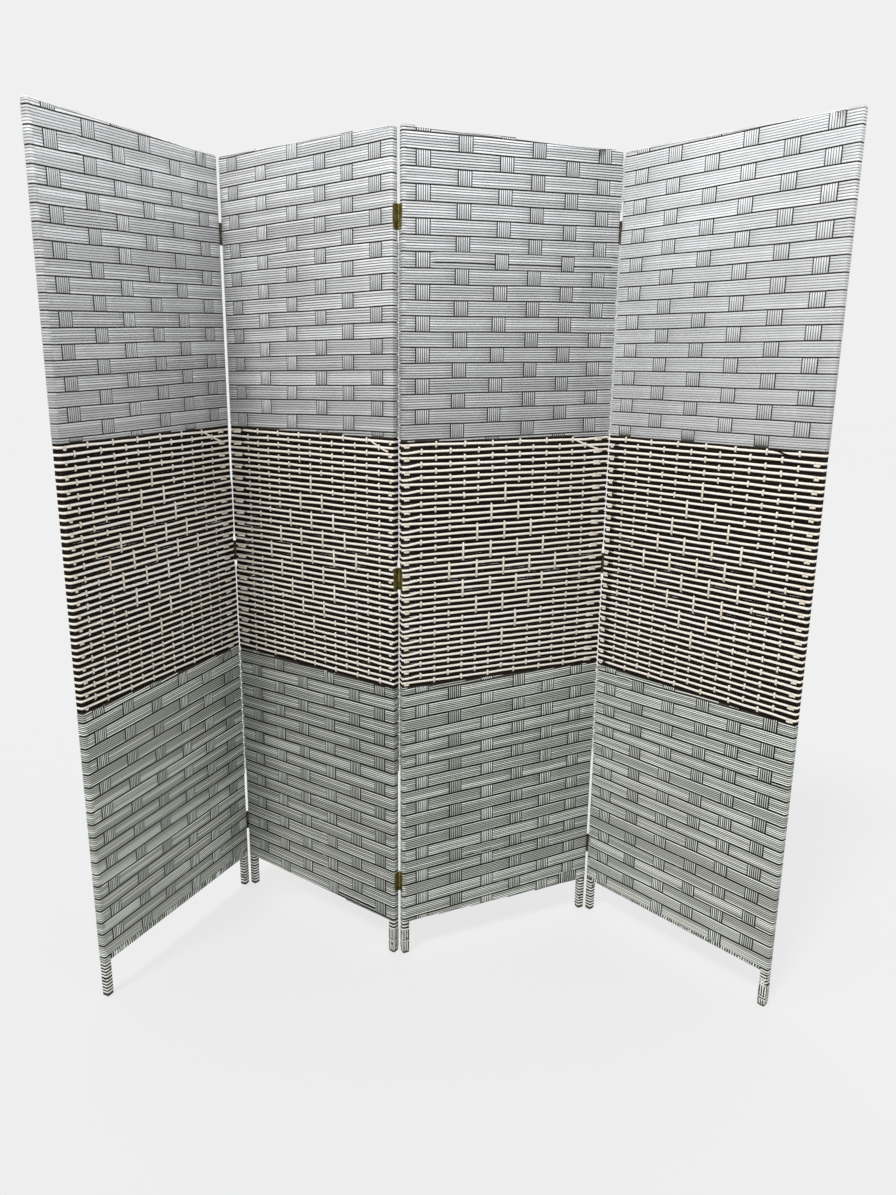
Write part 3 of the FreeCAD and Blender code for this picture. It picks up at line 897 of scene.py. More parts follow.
    def lay_block(self, cords, row, first, last, drop, depth):
        """One of the cords, which comes round the post where it starts left of it."""
        if first < BLOCK_ROUND:
            stations = [(BLOCK_END - depth, BLOCK_BACK, -1.0, 0.0), (-depth, BLOCK_SIDE, -1.0, 0.0),
                        (BLOCK_CORNER - depth, depth - BLOCK_CORNER, -BLOCK_CORNER_OUT, BLOCK_CORNER_OUT)]
            first = BLOCK_ROUND
        else:
            stations = [(first - BLOCK_END, depth - BLOCK_END_DIP, 0.0, 1.0)]
        stations += [(first + (last - first) * share, depth, 0.0, 1.0) for share in BLOCK_SHARES]
        stations.append((last + BLOCK_END, depth - BLOCK_END_DIP, 0.0, 1.0))
        u, v, out_u, out_v = np.array(stations).T
        held = np.clip(u, 0, self.width)
        z = self.line(row, held) + drop + dice.normal(0, BLOCK_WOBBLE, len(u)) + self.sway(row, held)
        cords.lay(np.column_stack([u, v, z]), UP, flat(out_u, out_v), BLOCK_WIDE, BLOCK_THICK,
                  tint=dice.normal(0, 1))


# Feet: lengths of level turns and of upright cords, knotted bands and crossed ties, by height
FOOT_PITCH = 0.0076
FOOT_FILL = 0.34
FOOT_MOTTLE = 0.28
FOOT_DARKEST = 0.6
FOOT_UNEVEN = 0.08
FOOT_WOBBLE = 0.00015
MIDDLE_FOOT = (("level", 0.087, 0.062), ("upright", 0.063, 0.035), ("knot", 0.037, 0.030),
               ("upright", 0.031, 0.0))
FEET = {
    (2, "right"): MIDDLE_FOOT,
    (3, "left"): MIDDLE_FOOT,
    (4, "right"): (("level", 0.087, 0.050), ("cross", 0.072, 0.051), ("upright", 0.052, 0.026),
                   ("knot", 0.027, 0.016), ("upright", 0.017, 0.0)),
}
PLAIN_FOOT = (("level", 0.087, 0.0),)
# Turns that go on behind the lowest wefts, and how far they lie further in
BEHIND_WEFTS = (0.101, 0.087)
BEHIND_BY = 0.0016
TIP_HEIGHT = 0.013
TIP_SHRINK = 0.0030
TIP_FLOOR = 0.0010
TIP_RINGS = (0.0052, 0.0022)
TIP_CORNER = 0.6
TIP_WIDE = 0.0019
UPRIGHT_CORDS = 12
UPRIGHT_STATIONS = 6
UPRIGHT_WIDE = 0.0018
UPRIGHT_LOWEST = 0.0008
UPRIGHT_TINT = 1.5
KNOT_OUT = 0.0003
KNOT_WIDE = 0.0017
CROSS_REACH = 0.0075
CROSS_DEPTH = 0.0091
CROSS_THICK = 0.0006
CROSS_SOOT = 0.2
CROSS_STATIONS = 5


def foot_path(middle, depth, corner):
    """The way round one post: u, v and the outward direction."""
    near = depth - corner
    corners = ((1, 1, 90), (1, -1, 0), (-1, -1, -90), (-1, 1, 180))
    return np.hstack([arc_stations(middle + sign_u * near, sign_v * near, start, corner)[:4]
                      for sign_u, sign_v, start in corners])


def mottled(count):
    """Painted shade on the sides and uneven dark patches along one cord."""
    patches = np.clip(dice.normal(0.0, FOOT_MOTTLE, (count, 1)), 0, FOOT_DARKEST)
    return np.maximum(SHADED_FLANKS[None, :], patches)


def tip_shrink(z):
    """How much further in the cord lies towards the tip of a foot."""
    return TIP_SHRINK * float(smooth_step((TIP_HEIGHT - z) / TIP_HEIGHT))


def lay_level(cords, middle, high, low, out_by=0.0, half=FOOT_PITCH * FOOT_FILL):
    """Level turns round a post."""
    turns = max(1, round((high - low) / (half / FOOT_FILL)))
    for turn in range(turns):
        z = high - (turn + 0.5 + dice.uniform(-FOOT_UNEVEN, FOOT_UNEVEN)) * (high - low) / turns
        u, v, out_u, out_v = foot_path(middle, WRAP_DEPTH + out_by - tip_shrink(z), CORNER)
        path = np.column_stack([u, v, np.full(len(u), z) + dice.normal(0, FOOT_WOBBLE, len(u))])
        cords.lay(path, UP, flat(out_u, out_v), half, WEFT_THICK, closed=True, tint=dice.normal(0, 1),
                  soot=mottled(len(u)))


def lay_knot(cords, middle, high, low):
    """Thin level turns that stand out a little."""
    lay_level(cords, middle, high, low, KNOT_OUT, KNOT_WIDE)


def lay_upright(cords, middle, high, low):
    """Upright cords side by side round a post."""
    around = foot_path(middle, WRAP_DEPTH, CORNER).T
    around = np.vstack([around, around[:1]])
    reach = np.concatenate([[0.0], np.cumsum(np.linalg.norm(np.diff(around[:, :2], axis=0), axis=1))])
    for cord in range(UPRIGHT_CORDS):
        at = (cord + 0.5) / UPRIGHT_CORDS * reach[-1]
        place = np.array([np.interp(at, reach, values) for values in around.T])
        out_u, out_v = place[2:] / np.linalg.norm(place[2:])
        heights = np.linspace(high, max(low, UPRIGHT_LOWEST), UPRIGHT_STATIONS)
        inward = np.array([tip_shrink(z) for z in heights])
        if low == 0.0:
            inward[-1] += TIP_SHRINK
        path = np.column_stack([place[0] - out_u * inward, place[1] - out_v * inward, heights])
        cords.lay(path, (-out_v, out_u, 0.0), (out_u, out_v, 0.0), UPRIGHT_WIDE, WEFT_THICK,
                  tint=dice.normal(0, UPRIGHT_TINT), soot=mottled(UPRIGHT_STATIONS))


def lay_cross(cords, middle, high, low):
    """Two cords tied crosswise over the front and the back of the post."""
    share = np.linspace(-1, 1, CROSS_STATIONS)
    for sign in (1.0, -1.0):
        for lean in (1.0, -1.0):
            z = (high + low) / 2 + lean * share * (high - low) / 2
            path = np.column_stack([middle + share * CROSS_REACH, np.full(len(z), sign * CROSS_DEPTH), z])
            step = path[1] - path[0]
            side = np.cross((0.0, sign, 0.0), step / np.linalg.norm(step))
            cords.lay(path, side, (0.0, sign, 0.0), UPRIGHT_WIDE, CROSS_THICK, tint=dice.normal(0, 1),
                      soot=CROSS_SOOT)


WINDINGS = {"level": lay_level, "upright": lay_upright, "knot": lay_knot, "cross": lay_cross}


def lay_foot(cords, panel, post):
    """The cord wound round a foot, down to its tip and under it."""
    middle = 0.0 if post == "left" else panel.width
    lay_level(cords, middle, *BEHIND_WEFTS, -BEHIND_BY)
    for kind, high, low in FEET.get((panel.number, post), PLAIN_FOOT):
        WINDINGS[kind](cords, middle, high, low)
    for reach in TIP_RINGS:
        u, v, out_u, out_v = foot_path(middle, reach, reach * TIP_CORNER)
        path = np.column_stack([u, v, np.full(len(u), TIP_FLOOR)])
        cords.lay(path, flat(out_u, out_v), (0.0, 0.0, -1.0), TIP_WIDE, WEFT_THICK, closed=True,
                  tint=dice.normal(0, 1))


def lay_bottom_turns(cords, panel, field):
    """Short turns wound upright round the bottom rail."""
    row, start, end = BOTTOM_TURNS[panel.number]
    count = int((end - start) / BOTTOM_PITCH)
    for turn in range(count + 1):
        u = start + turn * (end - start) / count + dice.normal(0, BOTTOM_WOBBLE)
        front_line = field.line(row, u) + dice.normal(0, BOTTOM_UNEVEN)
        halves = []
        for line in (front_line, field.back_line(row, u)):
            half = [(depth, line + lift, 1.0, 0.0) for depth, lift in TURN_HANG]
            half += [(depth, panel.low + lift, out, up) for depth, lift, out, up in TURN_ROUND]
            halves.append(half)
        front, back = halves
        stations = front + [(0.0, panel.low + TURN_BOTTOM, 0.0, -1.0)]
        stations += [(-depth, z, -out, up) for depth, z, out, up in reversed(back)]
        tint = dice.normal(0, BOTTOM_TINT)
        lay_upright_stations(cords, u, stations, BOTTOM_PITCH * BOTTOM_FILL, WEFT_THICK, tint,
                             mottled(len(stations)))


def bare_path(start, end, rise, bow):
    """A bare cord's way over the front, from one place to another, caught in the weave at its ends."""
    depth, dive, sharpness, count = bow
    share = np.linspace(0, 1, count)
    u, z = [first + (last - first) * share for first, last in zip(start, end)]
    v = depth - dive * (np.abs(share - 0.5) * 2) ** sharpness
    return np.column_stack([u, v, z + rise * np.sin(share * math.pi)])


def lay_loose_end(cords, start, end):
    """One end of cord lying aslant over the rows."""
    path = bare_path(start, end, -LOOSE_SAG, LOOSE_BOW)
    step = path[-1] - path[0]
    side = np.cross(OUTWARD, step / np.linalg.norm(step))
    cords.lay(path, side, OUTWARD, LOOSE_WIDE, WEFT_THICK, tint=1.0)


def lay_slit_cord(cords):
    """The one bare cord across the slit above the bottom edge, and a dark flat one behind it as a painted
    shadow.
    """
    start, end, low, high = SLIT
    middle = (low + high) / 2
    path = bare_path((start - SLIT_REACH, middle), (end + SLIT_REACH, middle), SLIT_RISE, SLIT_BOW)
    cords.lay(path, UP, OUTWARD, SLIT_WIDE, SLIT_THICK, tint=SLIT_TINT)
    # The dark flat cord behind the slit is a painted shadow.
    path[:, 1] = POST_SEAM
    path[:, 2] = middle
    cords.lay(path, UP, OUTWARD, (high - low) / 2, POST_SEAM_THICK, soot=1.0)


# Materials
def feed(tree, socket, value):
    """Links a socket to another node's output, or sets the socket's own value."""
    if isinstance(value, bpy.types.NodeSocket):
        tree.links.new(value, socket)
    else:
        socket.default_value = value


def add_node(tree, kind, inputs=(), **settings):
    """A new node with its settings, and with what goes into its sockets."""
    node = tree.nodes.new(f"ShaderNode{kind}")
    for label, value in settings.items():
        setattr(node, label, value)
    for label, value in dict(inputs).items():
        feed(tree, node.inputs[label], value)
    return node


def calc(tree, operation, *values):
    return add_node(tree, "Math", enumerate(values), operation=operation).outputs[0]


def ramp(tree, value, low, high, to_low=0.0, to_high=1.0):
    """A smooth step between two values."""
    inputs = {"Value": value, "From Min": low, "From Max": high, "To Min": to_low, "To Max": to_high}
    return add_node(tree, "MapRange", inputs, interpolation_type="SMOOTHSTEP").outputs["Result"]


def mix_color(tree, factor, first, second):
    """Two colours mixed; each is three numbers or another node's output."""
    colors = [(*color, 1.0) if isinstance(color, tuple) else color for color in (first, second)]
    return add_node(tree, "Mix", {0: factor, 6: colors[0], 7: colors[1]}, data_type="RGBA").outputs[2]


def noise(tree, place, scale, detail):
    return add_node(tree, "TexNoise", {"Vector": place, "Scale": scale, "Detail": detail}).outputs["Fac"]


def object_place(tree):
    return add_node(tree, "TexCoord").outputs["Object"]


def node_material(name):
    material = bpy.data.materials.new(name)
    material.use_nodes = True
    tree = material.node_tree
    return material, tree, tree.nodes["Principled BSDF"]


def dress_shader(tree, shader, inputs, height, distance, strength=1.0):
    """Fills the shader's sockets and gives it a bump."""
    bump = add_node(tree, "Bump", {"Height": height, "Distance": distance, "Strength": strength})
    for label, value in {**inputs, "Normal": bump.outputs["Normal"]}.items():
        feed(tree, shader.inputs[label], value)


def tinted(color, share):
    return tuple(part * share for part in color)


# Cord: how the streaks are stretched along, around and by cord, and from what to what each effect
# grows. The upper fields get darker towards the bottom between two heights, painted shade for light that
# falls from above.
STREAK_STRETCH = (60.0, 9.0, 7.0)
STREAK_DETAIL = 3.0
CLOUD_SCALE = 5.0
CLOUD_DETAIL = 4.0
TWIST_RAMP = (-0.9, 0.5)
WEAR_RAMP = (0.35, 0.85)
FLANK_SHADE_RAMP = (0.07, 0.17)
SHADE_AND_GRIME_RAMP = (0.15, 0.65)
ROUGH_RAMP = (0.3, 0.7)
ROUGH_BELOW = 0.06
ROUGH_ABOVE = 0.08
CORD_BUMP = 0.8
BOTTOM_SHADE_HEIGHTS = (1.25, 1.80)
BLACK = (0.0, 0.0, 0.0)


def cord_material(name, base, worn, valley_shade, twist, flank_shade, roughness, shine=0.3, bottom_shade_tone=1.0, spread=0.12):
    """Twisted paper: stripes of its twist, streaks along it, tint by cord, painted shade in the hollows.

    Twist gives the pitch of the stripes, how deep they are and how dark they get; their dark is painted
    shade in the grooves of the twist. The dark colour is painted shade on the sides of each cord and where
    the shade attribute asks for it, and the colour gets darker towards the bottom of the upper fields as
    painted shade for light from above."""
    material, tree, shader = node_material(name)
    pitch, depth, tone = twist
    strand = add_node(tree, "UVMap", uv_map="strand").outputs["UV"]
    along, around = add_node(tree, "SeparateXYZ", {0: strand}).outputs[:2]
    tint = add_node(tree, "Attribute", attribute_name="tint").outputs["Fac"]
    soot = add_node(tree, "Attribute", attribute_name="soot").outputs["Fac"]
    place = object_place(tree)
    turn = calc(tree, "ADD", calc(tree, "MULTIPLY", along, math.tau / pitch),
                calc(tree, "MULTIPLY", around, math.tau))
    raised = ramp(tree, calc(tree, "SINE", turn), *TWIST_RAMP)
    stretched = [calc(tree, "MULTIPLY", value, scale)
                 for value, scale in zip((along, around, tint), STREAK_STRETCH)]
    stretch = add_node(tree, "CombineXYZ", enumerate(stretched)).outputs[0]
    streaks = noise(tree, stretch, 1.0, STREAK_DETAIL)
    half_streaks = calc(tree, "MULTIPLY", streaks, 0.5)
    clouds = noise(tree, place, CLOUD_SCALE, CLOUD_DETAIL)
    wear = calc(tree, "ADD", half_streaks, calc(tree, "MULTIPLY", clouds, 0.5))
    wear = calc(tree, "ADD", wear, calc(tree, "MULTIPLY", tint, spread))
    color = mix_color(tree, ramp(tree, wear, *WEAR_RAMP), base, worn)
    level = add_node(tree, "SeparateXYZ", {0: place}).outputs[2]
    # Painted shade: darker towards the bottom of the upper fields, for light that falls from above.
    color = mix_color(tree, ramp(tree, level, *BOTTOM_SHADE_HEIGHTS, bottom_shade_tone, 1.0), BLACK, color)
    # Painted shade in the grooves of the twist.
    shade = calc(tree, "MULTIPLY", calc(tree, "SUBTRACT", 1.0, raised), tone)
    # Painted shade: the sides of each cord and the places the shade attribute marks take the dark colour.
    turned = calc(tree, "MINIMUM", around, calc(tree, "SUBTRACT", 1.0, around))
    edge = calc(tree, "MULTIPLY", ramp(tree, turned, *FLANK_SHADE_RAMP), flank_shade)
    dark = calc(tree, "MAXIMUM", edge, ramp(tree, soot, *SHADE_AND_GRIME_RAMP))
    dark = calc(tree, "MAXIMUM", dark, shade)
    rough = ramp(tree, streaks, *ROUGH_RAMP, roughness - ROUGH_BELOW, roughness + ROUGH_ABOVE)
    inputs = {"Base Color": mix_color(tree, dark, color, valley_shade), "Roughness": rough,
              "Specular IOR Level": shine}
    dress_shader(tree, shader, inputs, calc(tree, "ADD", raised, half_streaks), depth, CORD_BUMP)
    return material


# Wood and brass: how the grain is stretched, the scale and detail of the patches, from what to what
# they mix two colours, and how deep they are
WOOD_STRETCH = (60.0, 60.0, 6.0)
WOOD = {"scale": 2.0, "detail": 6.0, "mix": (0.3, 0.7), "depth": 0.0004}
WOOD_ROUGHNESS = 0.8
BRASS = {"scale": 90.0, "detail": 5.0, "mix": (0.35, 0.68), "depth": 0.0002}
BRASS_ROUGHNESS = (0.3, 0.7, 0.32, 0.6)
BRASS_METALLIC = 0.9


def patchy_material(name, first, second, look, stretched=False):
    """Wood with upright grain where it is stretched, otherwise brass with dull patches."""
    material, tree, shader = node_material(name)
    place = object_place(tree)
    if stretched:
        place = add_node(tree, "Mapping", {"Vector": place, "Scale": WOOD_STRETCH}).outputs[0]
    patches = noise(tree, place, look["scale"], look["detail"])
    inputs = {"Base Color": mix_color(tree, ramp(tree, patches, *look["mix"]), first, second)}
    if stretched:
        inputs["Roughness"] = WOOD_ROUGHNESS
    else:
        inputs["Roughness"] = ramp(tree, patches, *BRASS_ROUGHNESS)
        inputs["Metallic"] = BRASS_METALLIC
    dress_shader(tree, shader, inputs, patches, look["depth"])
    return material


# Grey paper, with how light it is on each panel, partly painted light for how much light each panel
# gets, how much its cords differ and how dark the painted shade in the lines between them is
# How dark the upper fields get at the lower height, painted shade for light from above.
UPPER_BOTTOM_SHADE = 0.84
UPPER_LIT_TONES = {1: 0.89, 2: 0.97, 3: 0.93, 4: 0.96}
UPPER_SPREAD = {1: 0.20, 2: 0.22, 3: 0.16, 4: 0.06}
UPPER_LINE_SHADE = {1: 0.46, 2: 0.54, 3: 0.72, 4: 0.40}
LOWER_LIT_TONES = {1: 1.40, 2: 1.16, 3: 1.29, 4: 1.44}
LOWER_SPREAD = 0.26
UPPER_GREY = {number: cord_material(
    f"upper grey paper {number}", base=tinted((0.555, 0.555, 0.545), tone),
    worn=tinted((0.80, 0.80, 0.79), tone), valley_shade=(0.040, 0.039, 0.037), twist=(0.012, 0.00001, 0.0),
    flank_shade=UPPER_LINE_SHADE[number], roughness=0.46, bottom_shade_tone=UPPER_BOTTOM_SHADE, spread=UPPER_SPREAD[number])
    for number, tone in UPPER_LIT_TONES.items()}
LOWER_GREY = {number: cord_material(
    f"lower grey paper {number}", base=tinted((0.38, 0.40, 0.35), tone),
    worn=tinted((0.71, 0.74, 0.675), tone), valley_shade=(0.010, 0.010, 0.008), twist=(0.0042, 0.00020, 0.22),
    flank_shade=1.0, roughness=0.60, spread=LOWER_SPREAD)
    for number, tone in LOWER_LIT_TONES.items()}
FOOT_GREY = cord_material(
    "foot grey paper", base=(0.80, 0.82, 0.75), worn=(0.95, 0.96, 0.91), valley_shade=(0.012, 0.012, 0.010),
    twist=(0.0042, 0.00020, 0.15), flank_shade=0.55, roughness=0.60)
CREAM = cord_material(
    "cream paper", base=(0.95, 0.89, 0.79), worn=(0.975, 0.94, 0.87), valley_shade=(0.26, 0.19, 0.12),
    twist=(0.0034, 0.00030, 0.08), flank_shade=0.38, roughness=0.62)
CREAM_WARP = cord_material(
    "cream warp", base=(0.78, 0.70, 0.57), worn=(0.92, 0.86, 0.75), valley_shade=(0.22, 0.16, 0.10),
    twist=(0.0034, 0.00025, 0.12), flank_shade=0.40, roughness=0.62)
DARK = cord_material(
    "dark paper", base=(0.008, 0.005, 0.003), worn=(0.022, 0.014, 0.009), valley_shade=(0.0018, 0.0013, 0.0010),
    twist=(0.0036, 0.00025, 0.60), flank_shade=0.75, roughness=0.85, shine=0.1)
FRAME_WOOD = patchy_material("frame wood", (0.030, 0.021, 0.014), (0.065, 0.045, 0.028), WOOD, True)
BRIGHT_BRASS = patchy_material("aged brass", (0.33, 0.29, 0.11), (0.09, 0.075, 0.027), BRASS)
DARK_BRASS = patchy_material("dark brass", (0.10, 0.08, 0.04), (0.03, 0.023, 0.014), BRASS)

# Height of the gap between rows, and rows with stronger painted shade in the lines between their cords
UPPER_GAP = 0.0015
LOWER_GAP = 0.0029
STRONG_ROWS = {1: (6, 7, 9, 10, 12, 13, 15, 16), 2: (5, 6, 7, 8, 10, 11, 12, 14, 15, 16),
               3: (1, 2, 6, 7, 10, 11, 14, 15, 16), 4: ()}
LOWER_STRONG_ROWS = (-1, 0, 2, 3, 5, 6, 8, 10, 11, 13, 14, 16, 17, 18, 19, 20)


def make_fields(panel, band):
    """The two grey fields of a panel, with the breaks in the lower one."""
    number = panel.number
    upper = Field(panel, UPPER[number], lambda u: panel.top + 0.0 * u, band.upper_edge,
                  UPPER_GAP, panel.top, UPPER_SLACK.get(number, ()))
    lower = Field(panel, LOWER[number], band.lower_edge, lambda u: panel.low + 0.0 * u,
                  LOWER_GAP, LOWER_COLUMN_TOP, LOWER_SLACK.get(number, ()))
    if number in BOTTOM_TURNS:
        row, first, last = BOTTOM_TURNS[number]
        start = first - BOTTOM_CLEAR
        end = last + BOTTOM_CLEAR
        lower.floor = lambda u: np.where((u > start) & (u < end),
                                         lower.line(row, np.clip(u, 0, panel.width)), panel.low)
        lower.breaks += [place + ease for place in (start, end) for ease in (-BOTTOM_EASE, BOTTOM_EASE)]
    if number == SLIT_PANEL:
        lower.breaks += [place + ease for place in SLIT[:2] for ease in (-SLIT_EASE, SLIT_EASE)]
    return upper, lower


def dress_field(field, where, material, strong_rows, extras):
    """The wefts and the warps of a grey field; its warps roll over the panel's own edge."""
    panel = field.panel
    cords = Cords()
    field.lay_wefts(cords, strong_rows)
    field.lay_shadow_seams(cords)
    for lay in extras:
        lay(cords)
    weave = f"{panel.body}_{where}"
    cords.build(f"{weave}_wefts", panel, material, "grey_cord", f"{weave}_weave")
    cords = Cords()
    field.lay_warps(cords, where == "upper", where == "lower")
    cords.build(f"{weave}_warps", panel, material, "grey_cord")


def dress_band(band, panel):
    """The cream rows, the dark cords, and the thin warps with the blocks and the loose end."""
    start, end, color = LOOSE_ENDS[panel.number]
    weave = f"{panel.body}_middle_weave"
    cords = Cords()
    band.lay_cream(cords)
    cords.build(f"{panel.body}_cream_rows", panel, CREAM, "cream_cord", weave)
    cords = Cords()
    band.lay_dark(cords)
    if color == "dark":
        lay_loose_end(cords, start, end)
    cords.build(f"{panel.body}_dark_cords", panel, DARK, "dark_cord", weave)
    cords = Cords()
    band.lay_warps(cords)
    band.lay_blocks(cords)
    if color == "cream":
        lay_loose_end(cords, start, end)
    cords.build(f"{panel.body}_cream_warps", panel, CREAM_WARP, "cream_cord")


def dress_panel(panel):
    """All pieces of one panel."""
    number = panel.number
    band = Band(panel, BAND[number])
    upper, lower = make_fields(panel, band)
    dress_field(upper, "upper", UPPER_GREY[number], STRONG_ROWS[number],
                [lambda cords: upper.lay_edge(cords, panel.top, 1.0)])
    dress_band(band, panel)
    extras = []
    if number == SLIT_PANEL:
        extras.append(lay_slit_cord)
    if number in BOTTOM_TURNS:
        extras.append(lambda cords: lay_bottom_turns(cords, panel, lower))
    if number in BOTTOM_EDGE_CORDS:
        extras.append(lambda cords: lower.lay_edge(cords, panel.low, -1.0))
    dress_field(lower, "lower", LOWER_GREY[number], LOWER_STRONG_ROWS, extras)
    for post in POSTS:
        cords = Cords()
        lay_foot(cords, panel, post)
        foot = f"{panel.body}_{post}_foot"
        cords.build(f"{foot}_cord", panel, FOOT_GREY, "grey_cord", f"{foot}_wrap")


# Screws of the hinge leaves, on faces that lie this far from the axis of the post. Each ring of a
# screw has its radius and how far it stands out of the leaf.
LEAF_FACE = 0.00975
LEAF_MIDDLE = 0.25
SCREW_HEIGHTS = (-0.017, 0.0, 0.017)
SCREW_RADIUS = 0.0021
SCREW_PROUD = 0.00012
SCREW_RINGS = ((SCREW_RADIUS, -0.0003), (SCREW_RADIUS, SCREW_PROUD * 0.4),
               (SCREW_RADIUS * 0.8, SCREW_PROUD))
SCREW_SIDES = 16
SLOT_DEPTH = 0.0004


def hinge_brass(node):
    """The hinges of the middle joint are bright brass, those of the outer joints dark brass."""
    return BRIGHT_BRASS if "2_3" in node else DARK_BRASS


def screw_faces(base):
    """Faces of one screw whose points start at base: two rings, a cut head, its slot and its back."""
    top = base + 2 * SCREW_SIDES
    faces = []
    for ring in range(base, top, SCREW_SIDES):
        for step in range(SCREW_SIDES):
            after = (step + 1) % SCREW_SIDES
            faces.append((ring + step, ring + after, ring + SCREW_SIDES + after, ring + SCREW_SIDES + step))
    slot = top + SCREW_SIDES
    half = SCREW_SIDES // 2
    faces += [tuple(range(top, top + half)), tuple(range(top + half, slot)), tuple(range(slot, slot + 4))]
    cut = (top, top + half - 1, top + half, slot - 1)
    for step in range(4):
        after = (step + 1) % 4
        faces.append((cut[step], cut[after], slot + after, slot + step))
    faces.append(tuple(base + step for step in reversed(range(SCREW_SIDES))))
    return faces


def make_screws(panel, post, node):
    """Flat slotted screw heads in the leaves of one post, on the leaf's outer face."""
    low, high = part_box(node)
    middle = (low + high) / 2
    leaf_v = float((np.array([middle.x, middle.y]) - panel.origin) @ panel.front) * LEAF_MIDDLE
    sign = 1.0 if post == "right" else -1.0
    face_u = panel.width + LEAF_FACE if post == "right" else -LEAF_FACE
    points = []
    faces = []
    for height in [hinge + drop for hinge in HINGES for drop in SCREW_HEIGHTS]:
        faces += screw_faces(len(points))
        turn = dice.uniform(0, math.pi)
        for radius, proud in SCREW_RINGS:
            for angle in np.arange(SCREW_SIDES) * math.tau / SCREW_SIDES + turn:
                points.append((face_u + sign * proud, leaf_v + radius * math.cos(angle),
                               height + radius * math.sin(angle)))
        head = points[-SCREW_SIDES:]
        for step in (0, SCREW_SIDES // 2 - 1, SCREW_SIDES // 2, SCREW_SIDES - 1):
            u, v, z = head[step]
            points.append((u - sign * SLOT_DEPTH, v, z))
    mesh = bpy.data.meshes.new(f"{node}_screws")
    mesh.from_pydata(panel.world(np.array(points)).tolist(), [], faces)
    work = bmesh.new()
    work.from_mesh(mesh)
    bmesh.ops.recalc_face_normals(work, faces=work.faces)
    work.to_mesh(mesh)
    work.free()
    mesh.materials.append(hinge_brass(node))
    piece = put(f"{node}_screws", mesh)
    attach(piece, panel.body)


for number in (1, 2, 3, 4):
    dress_panel(Panel(number))
for left, right in ((1, 2), (2, 3), (3, 4)):
    make_screws(Panel(left), "right", f"hinge_{left}_{right}_left_leaves")
    make_screws(Panel(right), "left", f"hinge_{left}_{right}_right_leaves")

for node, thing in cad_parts.items():
    if thing.hide_render:
        continue
    material = hinge_brass(node) if node.startswith("hinge") else FRAME_WOOD
    for place in thing.material_slots:
        place.material = material

# Floor and light. FRONT_SHARE is how much of an even room's light on the floor would come from the
# side of the room that is darkened.
BACKGROUND = 0.87
BACKDROP_COLOR = (1.0, 1.003, 1.012)
FLOOR_SHARE = 0.115
FLOOR_TINT = 0.99
FLOOR_SCALE = 3.0
FLOOR_RAMP = (0.3, 0.7)
FLOOR_GLOW = (1.0, 1.0, 1.01, 1.0)
FLOOR_RADIUS = 30
FLOOR_SIDES = 96
AMBIENT = 1.26
AMBIENT_FRONT = 0.20
AMBIENT_COLOR = (0.99, 1.0, 1.01, 1.0)
FRONT_SHARE = 0.212
KEY = 1.82
KEY_TURN = (math.radians(34), 0, math.radians(-30))
KEY_SOFT = math.radians(11)
OVERHEAD = 8.6
OVERHEAD_PLACE = (0.15, -0.62, 2.10)
OVERHEAD_AIM = (0.15, 0.1, 1.5)
OVERHEAD_SIZE = (1.9, 0.4)
OVERHEAD_COLOR = (0.95, 0.98, 1.05)


def make_floor():
    """A pale floor that glows just enough to look as light as the backdrop."""
    bpy.ops.mesh.primitive_circle_add(vertices=FLOOR_SIDES, radius=FLOOR_RADIUS, fill_type="NGON")
    floor = bpy.context.object
    floor.name = "floor"
    material, tree, shader = node_material("floor")
    patches = add_node(tree, "TexNoise", {"Scale": FLOOR_SCALE}).outputs["Fac"]
    color = mix_color(tree, ramp(tree, patches, *FLOOR_RAMP), tinted((1.0, 1.0, 1.0), FLOOR_SHARE),
                      tinted((FLOOR_TINT, FLOOR_TINT, 1.0), FLOOR_SHARE))
    open_sky = AMBIENT * (1 - FRONT_SHARE * (1 - AMBIENT_FRONT))
    light = open_sky + KEY * math.cos(KEY_TURN[0]) / math.pi
    inputs = {"Base Color": color, "Roughness": 1.0, "Specular IOR Level": 0.0,
              "Emission Color": FLOOR_GLOW, "Emission Strength": BACKGROUND - FLOOR_SHARE * light}
    for label, value in inputs.items():
        feed(tree, shader.inputs[label], value)
    floor.data.materials.append(material)


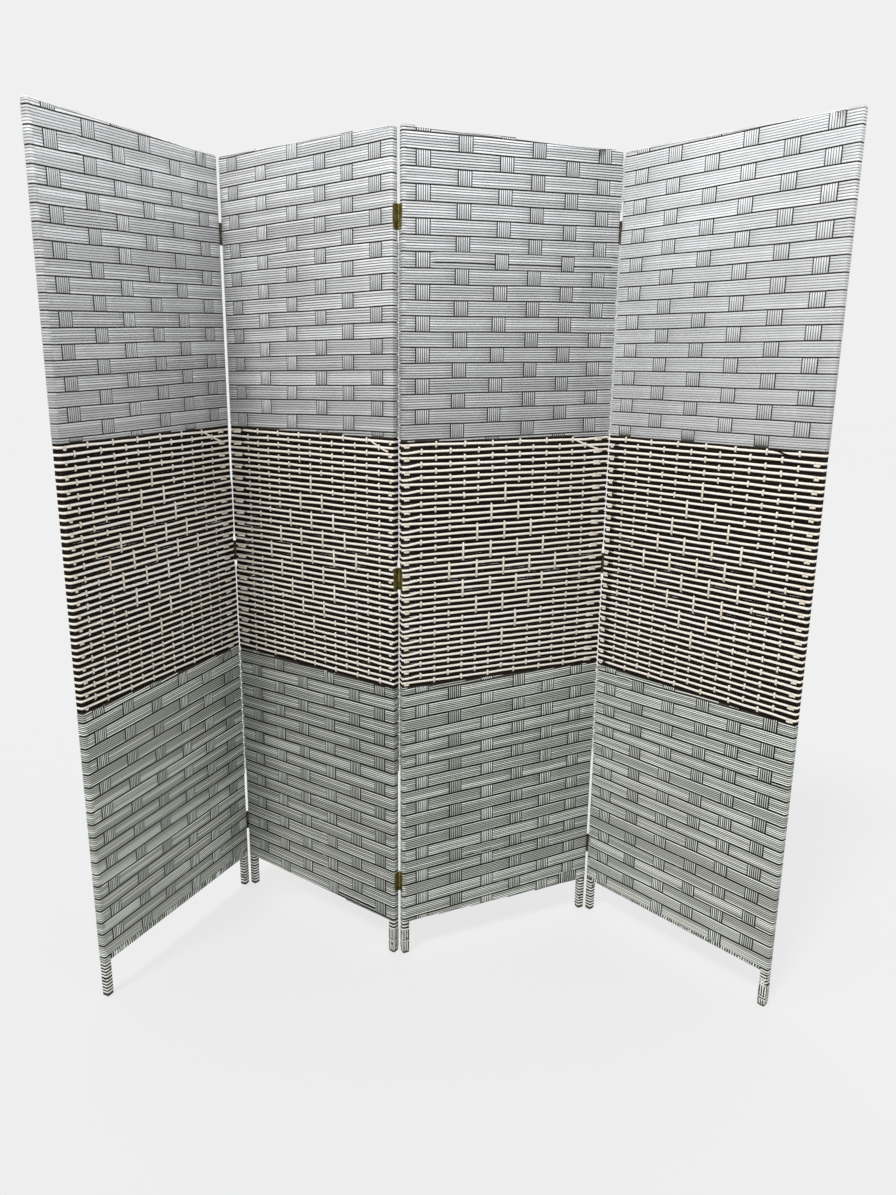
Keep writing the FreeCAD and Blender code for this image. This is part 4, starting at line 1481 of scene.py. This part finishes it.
def make_world():
    """A plain bright backdrop that lights the sides and the top more than the front."""
    world = bpy.data.worlds.new("studio")
    world.use_nodes = True
    tree = world.node_tree
    backdrop = tree.nodes["Background"]
    backdrop.inputs["Color"].default_value = (*tinted(BACKDROP_COLOR, BACKGROUND), 1.0)
    direction = add_node(tree, "TexCoord").outputs["Generated"]
    ahead = add_node(tree, "SeparateXYZ", {0: direction}).outputs[1]
    shade = ramp(tree, ahead, -1.0, 0.0, AMBIENT_FRONT, 1.0)
    strength = calc(tree, "MULTIPLY", shade, AMBIENT)
    room = add_node(tree, "Background", {"Color": AMBIENT_COLOR, "Strength": strength})
    seen = add_node(tree, "LightPath").outputs["Is Camera Ray"]
    both = add_node(tree, "MixShader", {0: seen, 1: room.outputs[0], 2: backdrop.outputs[0]})
    feed(tree, tree.nodes["World Output"].inputs["Surface"], both.outputs[0])
    bpy.context.scene.world = world


def make_lamps():
    """A soft sun from the front left, and a wide lamp above the front that the camera can't see."""
    key = bpy.data.lights.new("key", "SUN")
    key.energy = KEY
    key.angle = KEY_SOFT
    put("key", key).rotation_euler = KEY_TURN
    overhead = bpy.data.lights.new("overhead", "AREA")
    overhead.energy = OVERHEAD
    overhead.color = OVERHEAD_COLOR
    overhead.shape = "RECTANGLE"
    overhead.size, overhead.size_y = OVERHEAD_SIZE
    thing = put("overhead", overhead)
    thing.location = OVERHEAD_PLACE
    aim = Vector(OVERHEAD_AIM) - Vector(OVERHEAD_PLACE)
    thing.rotation_euler = aim.to_track_quat("-Z", "Y").to_euler()
    thing.visible_camera = False


def make_camera():
    """The camera at the photograph's place, turned sideways, down and rolled a little."""
    data = bpy.data.cameras.new("camera")
    data.sensor_width = SENSOR_MILLIMETRES
    data.lens = CAMERA_FOCAL_PIXELS / PICTURE_SIDE * SENSOR_MILLIMETRES
    data.shift_x, data.shift_y = CAMERA_SHIFT
    data.clip_start = CLIP_START
    ahead = Vector((math.sin(CAMERA_YAW) * math.cos(CAMERA_DOWN),
                    math.cos(CAMERA_YAW) * math.cos(CAMERA_DOWN), -math.sin(CAMERA_DOWN)))
    right = Vector((math.cos(CAMERA_YAW), -math.sin(CAMERA_YAW), 0))
    up = right.cross(ahead)
    rolled_right = right * math.cos(CAMERA_ROLL) + up * math.sin(CAMERA_ROLL)
    rolled_up = up * math.cos(CAMERA_ROLL) - right * math.sin(CAMERA_ROLL)
    turn = Matrix((rolled_right, rolled_up, -ahead)).transposed().to_4x4()
    camera = put("camera", data)
    camera.matrix_world = Matrix.Translation(CAMERA_PLACE) @ turn
    bpy.context.scene.camera = camera


make_floor()
make_world()
make_lamps()
make_camera()
bpy.context.scene.view_settings.view_transform = "Standard"
